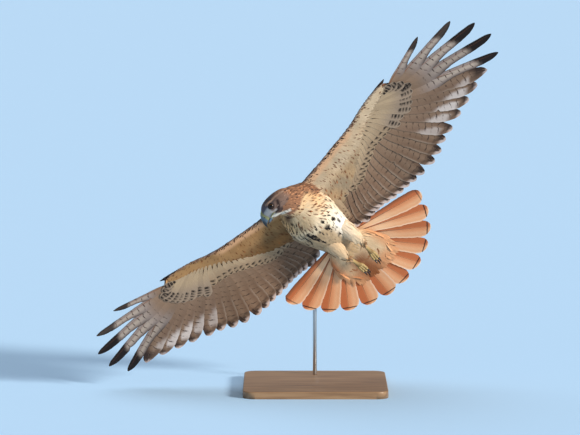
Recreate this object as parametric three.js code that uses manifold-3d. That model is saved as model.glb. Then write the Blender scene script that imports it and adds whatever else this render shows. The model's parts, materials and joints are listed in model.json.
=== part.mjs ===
// A life-size red-tailed hawk in banking flight, held by a plain display stand.
// Millimetres, +Z up, origin on the underside of the stand's base, under its middle.
// Bird frame: x forward, y to the bird's left, z out of its back.
import * as THREE from 'three';
import { mergeVertices } from 'three/addons/utils/BufferGeometryUtils.js';
import Module from 'manifold-3d';

const wasm = await Module();
wasm.setup();

const seat = 0.3; // gap between faces that meet

// Attitude and place of the bird
const heading = -132.4; // degrees, where the bill end of the body points, seen from above
const climb = 29.3;
const bank = 49.8; // left wing up
const bodyHeight = 434; // from the floor to the middle of the body
const bodyAhead = -78; // the body hangs in front of the base's middle

// Torso: stations from vent to breast
const torsoAt = [-152, -132, -108, -78, -42, -4, 32, 62, 86, 101];
const torsoHalfWidth = [24, 40, 49, 55, 63, 69, 71, 63, 49, 30];
const torsoTop = [10, 17, 24, 32, 41, 47, 49, 46, 38, 26];
const torsoBottom = [-14, -28, -40, -52, -61, -66, -64, -54, -42, -27];
const torsoSides = 18;
const torsoSteps = 13;

// Neck: from inside the breast's front to inside the head
const neckPath = [[78, -1, 0], [98, -3, -1], [116, -10, -4], [128, -18, -2], [138, -26, 2]];
const neckRadius = [42, 39, 33, 26, 20];
const neckSides = 14;

// Head: its own frame has x to the bill, z to the crown
const headPlace = [136, -26, 0];
const headForward = [-0.033, -0.936, -0.347];
const headCrown = [0.72, -0.263, 0.64];
const headAt = [-46, -38, -24, -6, 12, 26, 35, 40];
const headHalfWidth = [9, 19, 27, 30, 28, 20, 13, 9];
const headTop = [3, 11, 19, 24, 24.5, 22, 17, 12];
const headBottom = [-17, -25, -30, -31, -28, -21, -15, -12];
const headSides = 18;
const headSteps = 12;

// Bill: length along the ridge, hooked tip, mouth line
const cereStart = 31;
const billRidge = [[31, 17], [42, 15], [50, 9], [56.5, 0], [59.5, -8], [60, -17]];
const billCut = [[31, -9], [42, -9], [50, -9], [54, -10.5], [57, -13], [59, -17.5]];
const billHalfWidth = [12, 9.5, 7, 5, 3, 0.7];
const lowerBillAt = [22, 33, 43, 50];
const lowerBillHalfWidth = [9, 8, 5.5, 2];
const lowerBillDepth = [5, 6, 5, 1.5];
const mouthHeight = -9;
const gapeBack = 17;
const nostrilAt = [44, 3];
const nostrilOut = 8.6;
const nostrilRadius = 1.9;

// Eyes
const eyeAt = [10, 6];
const eyeBall = 9.5;
const eyeOut = 18.2; // ball centre from the head's middle plane
const lidRing = 8;
const lidThickness = 1.7;
const lidOut = 23.6;
const browLine = [[-6, 23, 13], [4, 25.5, 15.5], [14, 24.5, 15.5], [23, 20, 12.5], [30, 14, 9]];
const browRadius = [1.5, 4, 4.4, 3.4, 1.5];

// Wings: the flat plan has o outward from the shoulder, b backward
const shoulder = [58, 47, 18];
const elbow = [104, 32];
const wrist = [199, -52];
const palm = [269, -68];
const fingerEnd = [300, -76];
const wristBend = 24; // how far the bend from arm to hand is spread
const wingSet = {
  left: { side: 1, armRise: 2.4, handRise: -2.7, armTwist: 8.7, handTwist: 12.5, fan: 1.04 },
  right: { side: -1, armRise: 0.4, handRise: 0, armTwist: 1.9, handTwist: 8.8, fan: 0.96 },
};
const twistFrom = 130;
const twistTo = 270;

// Flight feathers: degrees behind straight out, and lengths
const primaryAngle = [50, 42, 36, 30, 25, 20, 11, 2, -8, -20];
const primaryLength = [236, 245, 257, 273, 296, 325, 324, 302, 259, 178];
const secondaryAngle = [55, 61, 67, 75, 80, 84, 88, 92, 96, 100, 103, 107];
const secondaryLength = [230, 229, 224, 216, 208, 200, 195, 187, 178, 170, 165, 162];
const tertialAngle = [108, 109, 110, 112];
const tertialLength = [164, 162, 156, 146];
const tipLift = 6; // how far the wing tip curls up over its outer part
const tipLiftFrom = 380;
const tipLiftOver = 200;

// Vanes: how far along, width of the outer web, width of the inner web
const roundVane = [
  [0, 2, 2], [0.14, 3, 6], [0.3, 9, 20], [0.62, 11, 27], [0.9, 10, 25], [0.98, 6, 14], [1, 2, 5],
];
const fingerVane = [
  [0, 2, 2], [0.14, 3, 7], [0.3, 8, 24], [0.5, 8, 27], [0.62, 7, 17], [0.86, 6.5, 13], [0.96, 4, 7], [1, 1, 2],
];
const tailVane = [[0, 3, 3], [0.2, 8, 10], [0.5, 14, 20], [0.85, 18, 26], [0.96, 14, 19], [1, 6, 8]];
const covertVane = [[0, 2, 2], [0.45, 6, 9], [0.85, 10, 17], [1, 3, 5]];
const alulaVane = [[0, 2, 2], [0.4, 5, 9], [0.85, 4, 8], [1, 1, 2]];
const vaneThickness = 0.8;
const vaneStep = 1.35; // from one vane's face to the next one's
const armCovert = 72;
const handCovert = 96;
const armCovertCount = 11;
const handCovertCount = 7;
const fingerCount = 5; // outer primaries whose tips stand apart
const alulaRoot = [232, -82];
const alulaTip = [332, -108];
const underTier = -3.9; // tiers of greater coverts below and above the flight feathers
const upperTier = 3.7;
const alulaLevel = 1.5;

// Flesh and small coverts of the wing: out, front, back and thickness of each rib, and a rib's outline
const armRows = [
  [-34, -34, 84, 44], [0, -42, 84, 36], [34, -46, 78, 26], [68, -50, 68, 19], [102, -56, 58, 16],
  [135, -63, 32, 15], [168, -72, 4, 14], [197, -80, -22, 13], [218, -86, -32, 12.5],
];
const handRows = [
  [180, -74, -10, 13.5], [198, -80, -26, 13], [225, -89, -38, 12], [250, -97, -46, 11], [275, -103, -54, 10],
  [300, -107, -62, 8], [318, -107, -74, 5],
];
const ribOutline = [
  [0, 0], [0.06, 0.62], [0.3, 1], [0.65, 0.85], [1, 0.5], [1, -0.5], [0.65, -0.8], [0.3, -0.9], [0.06, -0.55],
];

// Tail
const tailRoot = [-118, 0, 8];
const tailFan = 77;
const tailDrop = 14.3;
const tailTwist = -2.4;
const tailLength = 226;
const tailFeathers = 12;
const tailCoverts = 6;
const tailSpread = 14; // from the middle to the outermost feather's root
const outerTailShort = 10;
const rumpRows = [[4, 44, 13], [20, 52, 14], [44, 52, 12], [64, 44, 6]]; // back, half-width, half-thickness
const rumpLevel = -2;
const underTailCovert = { length: 116, fan: 13, spread: 24, level: -9 };
const upperTailCovert = { length: 84, fan: 30, spread: 26, level: 7 };

// Legs and feet: hip side, heel, toes
const legPlan = {
  left: {
    thigh: [[-52, 40, -38], [-78, 42, -48], [-104, 43, -56]],
    heel: [-112, 42, -60],
    toes: [-150, 37, -61],
  },
  right: {
    thigh: [[-52, -14, -44], [-78, -12, -56], [-104, -10, -62]],
    heel: [-112, -9, -64],
    toes: [-152, -8, -65],
  },
};
const thighRadius = [26, 21, 11];
const thighSides = 14;
const tarsusRadius = [6, 5, 7];
const toeRadius = [4, 4, 3];
const toeKnee = 18; // along the foot from where the toes part
const toePlan = [ // sideways, along and down to the end of each toe, the hind toe last
  { across: -8, reach: 34, drop: -5 },
  { across: 0, reach: 34, drop: -5 },
  { across: 8, reach: 34, drop: -5 },
  { across: 0, reach: 22, drop: 10 },
];
const clawRadius = [2.7, 2, 0.4];
const clawBend = [[8, -2], [14, -7]]; // along and up from the toe's end

// Stand
const baseWidth = 360;
const baseDepth = 350;
const baseThickness = 18;
const baseCorner = 30;
const rodRadius = 5;
const rodSocket = [-12, 0, 20]; // end of the rod inside the back, in the bird's frame
const rodReach = 165; // from that end straight back to the upright
const rodSides = 12;
const blockWidth = 24; // corner block that holds the arm on the upright
const blockHeight = 30;
const blockCorner = 5;
const knobProfile = [[0, 0], [5, 0], [5, 4], [9, 6], [9, 12], [7, 14], [0, 14]];

const rad = THREE.MathUtils.degToRad;
const v = (x, y, z) => new THREE.Vector3(x, y, z);
const smooth = (x, a, b) => THREE.MathUtils.smoothstep(x, a, b);

// A smooth curve through values given at stations
function through(at, values, x) {
  let i = at.length - 2;
  while (i > 0 && x < at[i]) i -= 1;
  const slope = (k) => {
    const a = Math.max(0, k - 1);
    const b = Math.min(at.length - 1, k + 1);
    return (values[b] - values[a]) / (at[b] - at[a]);
  };
  const w = at[i + 1] - at[i];
  const t = (x - at[i]) / w;
  const h = [2 * t ** 3 - 3 * t ** 2 + 1, t ** 3 - 2 * t ** 2 + t, 3 * t ** 2 - 2 * t ** 3, t ** 3 - t ** 2];
  return h[0] * values[i] + h[1] * w * slope(i) + h[2] * values[i + 1] + h[3] * w * slope(i + 1);
}

// A closed skin over a row of rings, its ends fanned to their middles
function skin(rings) {
  const count = rings[0].length;
  const points = rings.flat();
  const triangles = [];
  for (let r = 0; r + 1 < rings.length; r += 1) {
    for (let k = 0; k < count; k += 1) {
      const a = r * count + k;
      const b = r * count + ((k + 1) % count);
      triangles.push(a, b, b + count, a, b + count, a + count);
    }
  }
  for (const end of [0, rings.length - 1]) {
    const middle = v(0, 0, 0);
    rings[end].forEach((p) => middle.addScaledVector(p, 1 / count));
    const m = points.push(middle) - 1;
    for (let k = 0; k < count; k += 1) {
      const a = end * count + k;
      const b = end * count + ((k + 1) % count);
      triangles.push(...(end === 0 ? [m, b, a] : [m, a, b]));
    }
  }
  return closed(points, triangles);
}

// Points and triangles as a geometry whose faces point out
function closed(points, triangles) {
  let volume = 0;
  for (let i = 0; i < triangles.length; i += 3) {
    const [a, b, c] = [0, 1, 2].map((k) => points[triangles[i + k]]);
    volume += a.dot(b.clone().cross(c));
  }
  const geometry = new THREE.BufferGeometry();
  const positions = points.flatMap((p) => p.toArray());
  geometry.setAttribute('position', new THREE.Float32BufferAttribute(positions, 3));
  geometry.setIndex(volume < 0 ? triangles.slice().reverse() : triangles);
  return geometry;
}

// A round or flattened tube along a path, with one radius for each of its points
function tube(path, radii, sides, flat = 1) {
  const curve = path.map((p) => v(...p));
  let side = null;
  return skin(curve.map((p, i) => {
    const along = curve[Math.min(i + 1, curve.length - 1)].clone().sub(curve[Math.max(i - 1, 0)]).normalize();
    const guide = side ?? (Math.abs(along.z) > 0.9 ? v(0, 1, 0) : v(0, 0, 1)).cross(along);
    side = guide.addScaledVector(along, -guide.dot(along)).normalize().clone();
    const rise = along.clone().cross(side);
    return Array.from({ length: sides }, (_, k) => {
      const a = (2 * Math.PI * k) / sides;
      const wide = p.clone().addScaledVector(side, Math.cos(a) * radii[i]);
      return wide.addScaledVector(rise, Math.sin(a) * radii[i] * flat);
    });
  }));
}

// Solids: joining and cutting
function solid(geometry) {
  geometry.deleteAttribute('normal');
  geometry.deleteAttribute('uv');
  const merged = mergeVertices(geometry, 1e-4);
  return new wasm.Manifold(new wasm.Mesh({
    numProp: 3,
    vertProperties: new Float32Array(merged.attributes.position.array),
    triVerts: new Uint32Array(merged.index.array),
  }));
}
const fuse = (core, geometries) => geometries.map(solid).reduce((whole, piece) => whole.add(piece), core);
const join = ([first, ...others]) => fuse(solid(first), others);
const cut = (whole, ...pieces) => pieces.reduce((rest, piece) => rest.subtract(piece), whole);

const largest = (shape) => shape.decompose().sort((a, b) => b.volume() - a.volume())[0];

// The largest closed surface of a solid, as a named mesh
function node(name, shape, colour, roughness = 0.8, metalness = 0) {
  const body = largest(shape);
  const { numProp, vertProperties, triVerts } = body.getMesh();
  const geometry = new THREE.BufferGeometry();
  const positions = [];
  for (let i = 0; i < vertProperties.length; i += numProp) {
    positions.push(vertProperties[i], vertProperties[i + 1], vertProperties[i + 2]);
  }
  geometry.setAttribute('position', new THREE.Float32BufferAttribute(positions, 3));
  geometry.setIndex([...triVerts]);
  geometry.computeVertexNormals();
  const material = new THREE.MeshStandardMaterial({ color: colour, roughness, metalness });
  const mesh = new THREE.Mesh(geometry, material);
  mesh.name = name;
  return mesh;
}

// Body of revolution-like sections with their own width, top and bottom
function bodyOf(at, halfWidth, top, bottom, sides, steps, grow, place = (x, y, z) => v(x, y, z)) {
  const first = at[0] - grow;
  const last = at[at.length - 1] + grow;
  const rings = [];
  for (let s = 0; s <= steps; s += 1) {
    const x = first + ((last - first) * s) / steps;
    const inside = THREE.MathUtils.clamp(x, at[0], at[at.length - 1]);
    const w = through(at, halfWidth, inside) + grow;
    const up = through(at, top, inside) + grow;
    const down = through(at, bottom, inside) - grow;
    const middle = (up + down) / 2;
    const half = (up - down) / 2;
    rings.push(Array.from({ length: sides }, (_, k) => {
      const a = (2 * Math.PI * (k + 0.5)) / sides;
      return place(x, w * Math.cos(a), middle + half * Math.sin(a));
    }));
  }
  return skin(rings);
}

const torsoShape = (grow) => solid(
  bodyOf(torsoAt, torsoHalfWidth, torsoTop, torsoBottom, torsoSides, torsoSteps, grow),
);

// Head frame
const hx = v(...headForward).normalize();
const hz = v(...headCrown).addScaledVector(hx, -v(...headCrown).dot(hx)).normalize();
const hy = hz.clone().cross(hx);
function headPoint(x, y, z) {
  return v(...headPlace).addScaledVector(hx, x).addScaledVector(hy, y).addScaledVector(hz, z);
}
const headShape = (grow) => solid(
  bodyOf(headAt, headHalfWidth, headTop, headBottom, headSides, headSteps, grow, headPoint),
);

function ball(centre, radius, sides = 14) {
  const geometry = new THREE.SphereGeometry(radius, sides, Math.round(sides * 0.6));
  geometry.translate(centre.x, centre.y, centre.z);
  return solid(geometry);
}

// Eye sockets, lids and brows
function eyeCentre(side) {
  return headPoint(eyeAt[0], side * eyeOut, eyeAt[1]);
}
function lids(side) {
  const ring = new THREE.TorusGeometry(lidRing, lidThickness, 5, 14);
  const turn = new THREE.Matrix4().makeBasis(hx, hz, hx.clone().cross(hz));
  ring.applyMatrix4(turn);
  const c = headPoint(eyeAt[0], side * lidOut, eyeAt[1]);
  ring.translate(c.x, c.y, c.z);
  return solid(ring);
}
function brow(side) {
  const path = browLine.map(([x, y, z]) => headPoint(x, side * y, z).toArray());
  return solid(tube(path, browRadius, 7, 0.8));
}

// Bill: rings in the head's middle plane from ridge to cutting edge
function billShape(ridge, edge, halfWidth, grow) {
  return solid(skin(ridge.map((r, i) => {
    const top = [r[0], r[1] + grow];
    const low = [edge[i][0], edge[i][1] - grow];
    const w = halfWidth[i] + grow;
    return Array.from({ length: 12 }, (_, k) => {
      const a = (2 * Math.PI * k) / 12;
      const t = (1 - Math.cos(a)) / 2;
      const full = Math.sin(a) * (t < 0.5 ? 1 : 1.12);
      return headPoint(top[0] + (low[0] - top[0]) * t, w * full, top[1] + (low[1] - top[1]) * t);
    });
  })));
}
const upperBill = (grow) => billShape(billRidge, billCut, billHalfWidth, grow);
const lowerBill = (grow) => billShape(
  lowerBillAt.map((x) => [x, mouthHeight - seat]),
  lowerBillAt.map((x, i) => [x, mouthHeight - seat - lowerBillDepth[i]]),
  lowerBillHalfWidth,
  grow,
);

// The mouth line cut into each cheek, and the nostrils into the cere
function mouthLine() {
  const slot = new THREE.BoxGeometry(cereStart + 10 - gapeBack, 80, 0.9);
  slot.applyMatrix4(new THREE.Matrix4().makeBasis(hx, hy, hz));
  const c = headPoint((cereStart + 10 + gapeBack) / 2, 0, mouthHeight);
  slot.translate(c.x, c.y, c.z);
  return solid(slot);
}
function nostril(side) {
  return ball(headPoint(nostrilAt[0], side * nostrilOut, nostrilAt[1]), nostrilRadius, 8);
}

const neckShape = (grow) => solid(tube(neckPath, neckRadius.map((r) => r + grow), neckSides, 0.95));

// A point of the wing from its flat plan: o outward, b backward, n out of the upper face
function wingPoint(which, o, b, n) {
  const { side, armRise, handRise, armTwist, handTwist } = wingSet[which];
  const past = wristBend * Math.log1p(Math.exp((o - wrist[0]) / wristBend));
  const armSlope = Math.tan(rad(armRise));
  const rise = armSlope * o + (Math.tan(rad(handRise)) - armSlope) * past;
  const curl = tipLift * (Math.max(0, o - tipLiftFrom) / tipLiftOver) ** 2;
  const twist = rad(armTwist + (handTwist - armTwist) * smooth(o, twistFrom, twistTo));
  return v(
    shoulder[0] - b * Math.cos(twist) - n * Math.sin(twist),
    side * (shoulder[1] + o),
    shoulder[2] + rise + curl - b * Math.sin(twist) + n * Math.cos(twist),
  );
}

// Rays of the flight feathers: root, direction and length in the flat plan
const between = (p, q, t) => [p[0] + (q[0] - p[0]) * t, p[1] + (q[1] - p[1]) * t];
function handRays(which) {
  const onPalm = 5; // the first six primaries root along the palm, the others along the finger
  const onFinger = primaryAngle.length - 1 - onPalm;
  const rootOf = (i) => {
    if (i <= onPalm) return between(wrist, palm, 0.12 + (0.88 * i) / onPalm);
    return between(palm, fingerEnd, (i - onPalm) / onFinger);
  };
  return primaryAngle.map((angle, i) => ({
    root: rootOf(i),
    angle: rad(angle * wingSet[which].fan),
    length: primaryLength[i],
  }));
}
function armRays(which) {
  const row = (angles, lengths, from, to) => angles.map((angle, i) => ({
    root: between(from, to, (i + 0.4) / (angles.length + 0.4)),
    angle: rad(angle * wingSet[which].fan),
    length: lengths[i],
  }));
  return [
    ...row(secondaryAngle, secondaryLength, wrist, elbow),
    ...row(tertialAngle, tertialLength, elbow, [0, 0]),
  ];
}

// One vane along a ray of the flat plan: its outer edge tilts up, so that it clears its neighbour.
// Both faces are split into triangles alike.
function vane(ray, form, place) {
  const { root, angle, length, hand = 1, level = 0, pitch = () => 1e9 } = ray;
  const along = [Math.cos(angle), Math.sin(angle)];
  const out = [hand * Math.sin(angle), -hand * Math.cos(angle)];
  const points = [];
  form.forEach(([t, outer, inner]) => {
    const r = t * length;
    const tilt = Math.asin(Math.min(0.25, vaneStep / pitch(r)));
    const half = (vaneThickness / 2) * (1 - 0.5 * t);
    for (const [w, face] of [[outer, 1], [-inner, 1], [-inner, -1], [outer, -1]]) {
      points.push(place(
        root[0] + along[0] * r + out[0] * w * Math.cos(tilt),
        root[1] + along[1] * r + out[1] * w * Math.cos(tilt),
        level + w * Math.sin(tilt) + face * half,
      ));
    }
  });
  const triangles = [0, 1, 2, 0, 2, 3];
  for (let s = 0; s + 1 < form.length; s += 1) {
    const a = 4 * s;
    const b = a + 4;
    triangles.push(a, b + 1, a + 1, a, b, b + 1);
    triangles.push(a + 3, a + 2, b + 2, a + 3, b + 2, b + 3);
    triangles.push(a + 1, b + 1, b + 2, a + 1, b + 2, a + 2);
    triangles.push(a, a + 3, b + 3, a, b + 3, b);
  }
  const e = 4 * (form.length - 1);
  triangles.push(e, e + 2, e + 1, e, e + 3, e + 2);
  return closed(points, triangles);
}

// Distance from each ray to the next one, along its length
function withPitch(rays) {
  return rays.map((ray, i) => {
    const next = rays[Math.min(i + 1, rays.length - 1)];
    const last = rays[Math.max(i - 1, 0)];
    const gap = (from, to, r) => {
      const p = [from.root[0] + Math.cos(from.angle) * r, from.root[1] + Math.sin(from.angle) * r];
      return Math.abs((p[0] - to.root[0]) * Math.sin(to.angle) - (p[1] - to.root[1]) * Math.cos(to.angle));
    };
    const both = (r) => (gap(ray, next, r) + gap(ray, last, r)) / (next === ray || last === ray ? 1 : 2);
    return { ...ray, pitch: (r) => Math.max(6, both(r)) };
  });
}

// A shorter tier over the roots of the same rays, of fewer and wider vanes
function tier(rays, count, length, level) {
  return withPitch(Array.from({ length: count }, (_, k) => {
    const at = (k * (rays.length - 1)) / (count - 1);
    const a = rays[Math.floor(at)];
    const b = rays[Math.ceil(at)];
    const t = at % 1;
    return {
      root: between(a.root, b.root, t),
      angle: a.angle + (b.angle - a.angle) * t,
      length: Math.min(length, 0.6 * (a.length + (b.length - a.length) * t)),
      level,
    };
  }));
}

// Flesh of the wing
function ribs(which, rows) {
  return solid(skin(rows.map(([o, front, back, thick]) => ribOutline.map(([t, h]) => (
    wingPoint(which, o, front + (back - front) * t, (h * thick) / 2)
  )))));
}

function wingNodes(which) {
  const place = (o, b, n) => wingPoint(which, o, b, n);
  const rays = withPitch([...handRays(which).reverse(), ...armRays(which)]);
  const handRay = rays.slice(0, primaryAngle.length);
  const armRay = rays.slice(primaryAngle.length);
  const inner = handRay[handRay.length - 1];
  // The two nodes part along a line between the first primary and the first secondary
  const seamAngle = (inner.angle + armRay[0].angle) / 2;
  const seamRoot = between(inner.root, armRay[0].root, 0.5);
  const seam = [-110, 0, 60].map((r) => {
    const angle = r < 0 ? rad(90) : seamAngle;
    const o = seamRoot[0] + Math.cos(angle) * r;
    const b = seamRoot[1] + Math.sin(angle) * r;
    return [o, b, -Math.sin(angle), Math.cos(angle)];
  });
  const wall = solid(skin(seam.map(([o, b, so, sb]) => [
    [-seat / 2, -60], [seat / 2, -60], [seat / 2, 60], [-seat / 2, 60],
  ].map(([s, n]) => place(o + so * s, b + sb * s, n)))));
  const vanes = (row, form) => row.map((ray) => vane(ray, form, place));
  const flesh = (rows) => largest(cut(ribs(which, rows), wall));
  const alula = {
    root: alulaRoot,
    angle: Math.atan2(alulaTip[1] - alulaRoot[1], alulaTip[0] - alulaRoot[0]),
    length: Math.hypot(alulaTip[0] - alulaRoot[0], alulaTip[1] - alulaRoot[1]),
    level: alulaLevel,
  };
  const hand = fuse(flesh(handRows), [
    ...vanes(handRay.slice(0, fingerCount), fingerVane),
    ...vanes(handRay.slice(fingerCount), roundVane),
    ...vanes(tier(handRay, handCovertCount, handCovert, underTier), covertVane),
    ...vanes(tier(handRay, handCovertCount, handCovert, upperTier), covertVane),
    ...vanes([alula], alulaVane),
  ]);
  const armFull = fuse(flesh(armRows), [
    ...vanes(armRay, roundVane),
    ...vanes(tier(armRay, armCovertCount, armCovert, underTier), covertVane),
    ...vanes(tier(armRay, armCovertCount, armCovert, upperTier), covertVane),
  ]);
  const arm = cut(armFull, torsoShape(seat), neckShape(seat));
  return [
    node(`wing_${which}`, arm, 0xcbb38d),
    node(`hand_${which}`, hand, 0xb8a58c),
  ];
}

// Tail: fan of rays in its own plane, dropped and twisted
function tailPoint(o, b, n) {
  const p = v(-b, o, n);
  p.applyEuler(new THREE.Euler(rad(tailTwist), rad(-tailDrop), 0, 'ZYX'));
  return p.add(v(...tailRoot));
}
// A fan of rays whose outermost ones are a little shorter. The left middle one lies flat above all others.
function tailRays(count, { fan, length, spread, level }) {
  const rays = Array.from({ length: count }, (_, k) => {
    const t = -1 + (2 * k) / (count - 1);
    return {
      root: [spread * t, 0],
      angle: rad(90 - t * fan),
      length: length - outerTailShort * Math.abs(t) ** 1.5,
      hand: t < 0 ? -1 : 1,
      level,
    };
  });
  const roof = { pitch: undefined, level: level + 1.5 * vaneStep };
  return withPitch(rays).map((ray, k) => (k === count / 2 ? { ...ray, ...roof } : ray));
}
function rump() {
  const sides = 14;
  return solid(skin(rumpRows.map(([b, w, n]) => Array.from({ length: sides }, (_, k) => {
    const a = (2 * Math.PI * (k + 0.5)) / sides;
    return tailPoint(w * Math.cos(a), b, n * Math.sin(a) + rumpLevel);
  }))));
}
function tailShape() {
  const fans = [
    tailRays(tailFeathers, { fan: tailFan, length: tailLength, spread: tailSpread, level: 0 }),
    tailRays(tailCoverts, underTailCovert),
    tailRays(tailCoverts, upperTailCovert),
  ];
  return fuse(rump(), fans.flat().map((ray) => vane(ray, tailVane, tailPoint)));
}

// A foot's shank and toes, and its claws: with grow, the room that the claws keep from the toes
function toePaths(which) {
  const { heel, toes } = legPlan[which];
  const palmOf = v(...toes);
  const along = palmOf.clone().sub(v(...heel)).normalize();
  const across = v(0, 0, 1).cross(along).normalize();
  const at = (forward, sideways, up) => palmOf.clone()
    .addScaledVector(along, forward).addScaledVector(across, sideways).add(v(0, 0, up)).toArray();
  return toePlan.map(({ across: side, reach, drop }) => ({
    toe: [at(0, side * 0.3, 0), at(toeKnee, side, drop * 0.5), at(reach, side * 1.1, drop)],
    claw: [[seat, 0], ...clawBend].map(([forward, up]) => at(reach + forward, side * 1.1, drop + up)),
  }));
}
function footShape(which, grow) {
  const { heel, toes } = legPlan[which];
  const shank = [heel, v(...heel).lerp(v(...toes), 0.6).toArray(), toes];
  return join([
    tube(shank, tarsusRadius.map((r) => r + grow), 10),
    ...toePaths(which).map(({ toe }) => tube(toe, toeRadius.map((r) => r + grow), 8)),
  ]);
}

const bird = new THREE.Group();
bird.rotation.set(rad(bank), rad(-climb), rad(heading), 'ZYX');
bird.position.set(0, bodyAhead, bodyHeight);
bird.updateMatrixWorld();

// Rods: a post up from the base behind the tail, a corner block on it, and an arm into a socket in the back
const socket = bird.localToWorld(v(...rodSocket));
const postY = socket.y + rodReach;
function rod(from, to, grow = 0) {
  return solid(tube([from.toArray(), to.toArray()], [rodRadius + grow, rodRadius + grow], rodSides));
}
function armEnds(grow) {
  return [v(socket.x, socket.y - grow, socket.z), v(socket.x, postY - blockWidth / 2 - seat, socket.z)];
}
function plateOutline(width, depth, corner) {
  const [hw, hd] = [width / 2, depth / 2];
  const outline = new THREE.Shape();
  outline.absarc(hw - corner, -hd + corner, corner, -Math.PI / 2, 0);
  outline.absarc(hw - corner, hd - corner, corner, 0, Math.PI / 2);
  outline.absarc(-hw + corner, hd - corner, corner, Math.PI / 2, Math.PI);
  outline.absarc(-hw + corner, -hd + corner, corner, Math.PI, 1.5 * Math.PI);
  return outline;
}
function plate(width, depth, corner, thickness, curveSegments) {
  const outline = plateOutline(width, depth, corner);
  return new THREE.ExtrudeGeometry(outline, { depth: thickness, bevelEnabled: false, curveSegments });
}
function cornerBlock() {
  const block = plate(blockWidth, blockWidth, blockCorner, blockHeight, 3);
  block.translate(socket.x, postY, socket.z - blockHeight / 2);
  const knob = new THREE.LatheGeometry(knobProfile.map(([x, y]) => new THREE.Vector2(x, y - seat)), rodSides);
  knob.rotateX(Math.PI / 2);
  knob.translate(socket.x, postY, socket.z + blockHeight / 2);
  return join([block, knob]);
}

const torso = cut(torsoShape(0), rod(...armEnds(seat).map((p) => bird.worldToLocal(p)), seat));
bird.add(node('torso', torso, 0xe8dcc4));

const sockets = [1, -1].map((side) => ball(eyeCentre(side), eyeBall + seat));
const skull = [1, -1].reduce((whole, side) => whole.add(lids(side)).add(brow(side)), headShape(0));
const head = cut(skull, ...sockets, mouthLine(), upperBill(seat), lowerBill(seat));
bird.add(node('head', head, 0x6f5a48));
bird.add(node('neck', cut(neckShape(0), torsoShape(seat), headShape(seat)), 0x8a6a4c));
bird.add(node('bill_upper', cut(upperBill(0), nostril(1), nostril(-1)), 0x6d7c86, 0.4));
bird.add(node('bill_lower', lowerBill(0), 0x8b959a, 0.4));
[1, -1].forEach((side) => {
  bird.add(node(side > 0 ? 'eye_left' : 'eye_right', ball(eyeCentre(side), eyeBall), 0x1a120c, 0.1));
});

for (const which of ['left', 'right']) bird.add(...wingNodes(which));

const tail = cut(tailShape(), torsoShape(seat));
bird.add(node('tail', tail, 0xc0623a));

for (const which of ['left', 'right']) {
  const leg = (grow) => solid(tube(legPlan[which].thigh, thighRadius.map((r) => r + grow), thighSides));
  bird.add(node(`leg_${which}`, cut(leg(0), torsoShape(seat)), 0xe4d3b4));
  bird.add(node(`foot_${which}`, cut(footShape(which, 0), torsoShape(seat), leg(seat)), 0xb8a468));
  toePaths(which).forEach(({ claw }, k) => {
    const horn = cut(solid(tube(claw, clawRadius, 8)), footShape(which, seat));
    bird.add(node(`claw_${which}_${k + 1}`, horn, 0x141210, 0.3));
  });
}

const model = new THREE.Group();
model.add(bird);

const steel = 0x9a9da0;
const slab = plate(baseWidth, baseDepth, baseCorner, baseThickness, 6);
const postFoot = v(socket.x, postY, baseThickness + seat);
const postHead = v(socket.x, postY, socket.z - blockHeight / 2 - seat);
model.add(node('stand_base', solid(slab), 0xd8d4cc, 0.5));
model.add(node('stand_post', rod(postFoot, postHead), steel, 0.3, 1));
model.add(node('stand_elbow', cornerBlock(), steel, 0.3, 1));
model.add(node('stand_arm', rod(...armEnds(0)), steel, 0.3, 1));

export default model;
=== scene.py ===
import json
import math

import bmesh
import bpy
import numpy as np
from mathutils import Matrix, Vector
from mathutils.bvhtree import BVHTree
from mathutils.kdtree import KDTree

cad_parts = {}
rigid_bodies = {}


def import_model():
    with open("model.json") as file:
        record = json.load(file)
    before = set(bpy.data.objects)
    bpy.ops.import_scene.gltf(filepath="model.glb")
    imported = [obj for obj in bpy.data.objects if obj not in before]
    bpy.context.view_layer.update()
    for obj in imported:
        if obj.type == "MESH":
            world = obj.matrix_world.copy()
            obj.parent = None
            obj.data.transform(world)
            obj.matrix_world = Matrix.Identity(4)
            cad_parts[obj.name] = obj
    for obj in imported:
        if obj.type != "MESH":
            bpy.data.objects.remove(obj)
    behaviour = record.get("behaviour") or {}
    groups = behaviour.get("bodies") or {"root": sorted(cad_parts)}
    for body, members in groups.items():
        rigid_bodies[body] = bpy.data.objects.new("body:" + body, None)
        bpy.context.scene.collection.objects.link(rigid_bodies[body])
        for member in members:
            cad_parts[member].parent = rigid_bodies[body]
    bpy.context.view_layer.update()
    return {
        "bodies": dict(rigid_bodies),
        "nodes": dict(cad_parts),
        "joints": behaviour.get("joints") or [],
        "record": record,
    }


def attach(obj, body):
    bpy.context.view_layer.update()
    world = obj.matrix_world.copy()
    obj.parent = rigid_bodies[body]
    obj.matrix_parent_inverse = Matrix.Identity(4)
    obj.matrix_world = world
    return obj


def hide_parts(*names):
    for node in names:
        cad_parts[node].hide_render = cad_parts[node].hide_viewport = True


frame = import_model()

# A red-tailed hawk in banking flight on a display stand, seen from below its left side.
# The bird's own frame is in millimetres: x forward, y to its left, z out of its back.
mm = 0.001
rng = np.random.default_rng(1907)

attitude = {"heading": -132.4, "climb": 29.3, "bank": 49.8, "at": (0, -78, 434)}
turn = np.array(
    Matrix.Rotation(math.radians(attitude["heading"]), 3, "Z")
    @ Matrix.Rotation(math.radians(-attitude["climb"]), 3, "Y")
    @ Matrix.Rotation(math.radians(attitude["bank"]), 3, "X")
)


def toWorld(points):
    return (np.asarray(points) @ turn.T + np.array(attitude["at"])) * mm


def toBird(points):
    return (np.asarray(points) / mm - np.array(attitude["at"])) @ turn


def ink(r, g, b):
    # a colour as a screen shows it, 0 to 255, as the linear colour that materials use
    c = np.array([r, g, b]) / 255
    return np.where(c <= 0.04045, c / 12.92, ((c + 0.055) / 1.055) ** 2.4)


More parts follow.
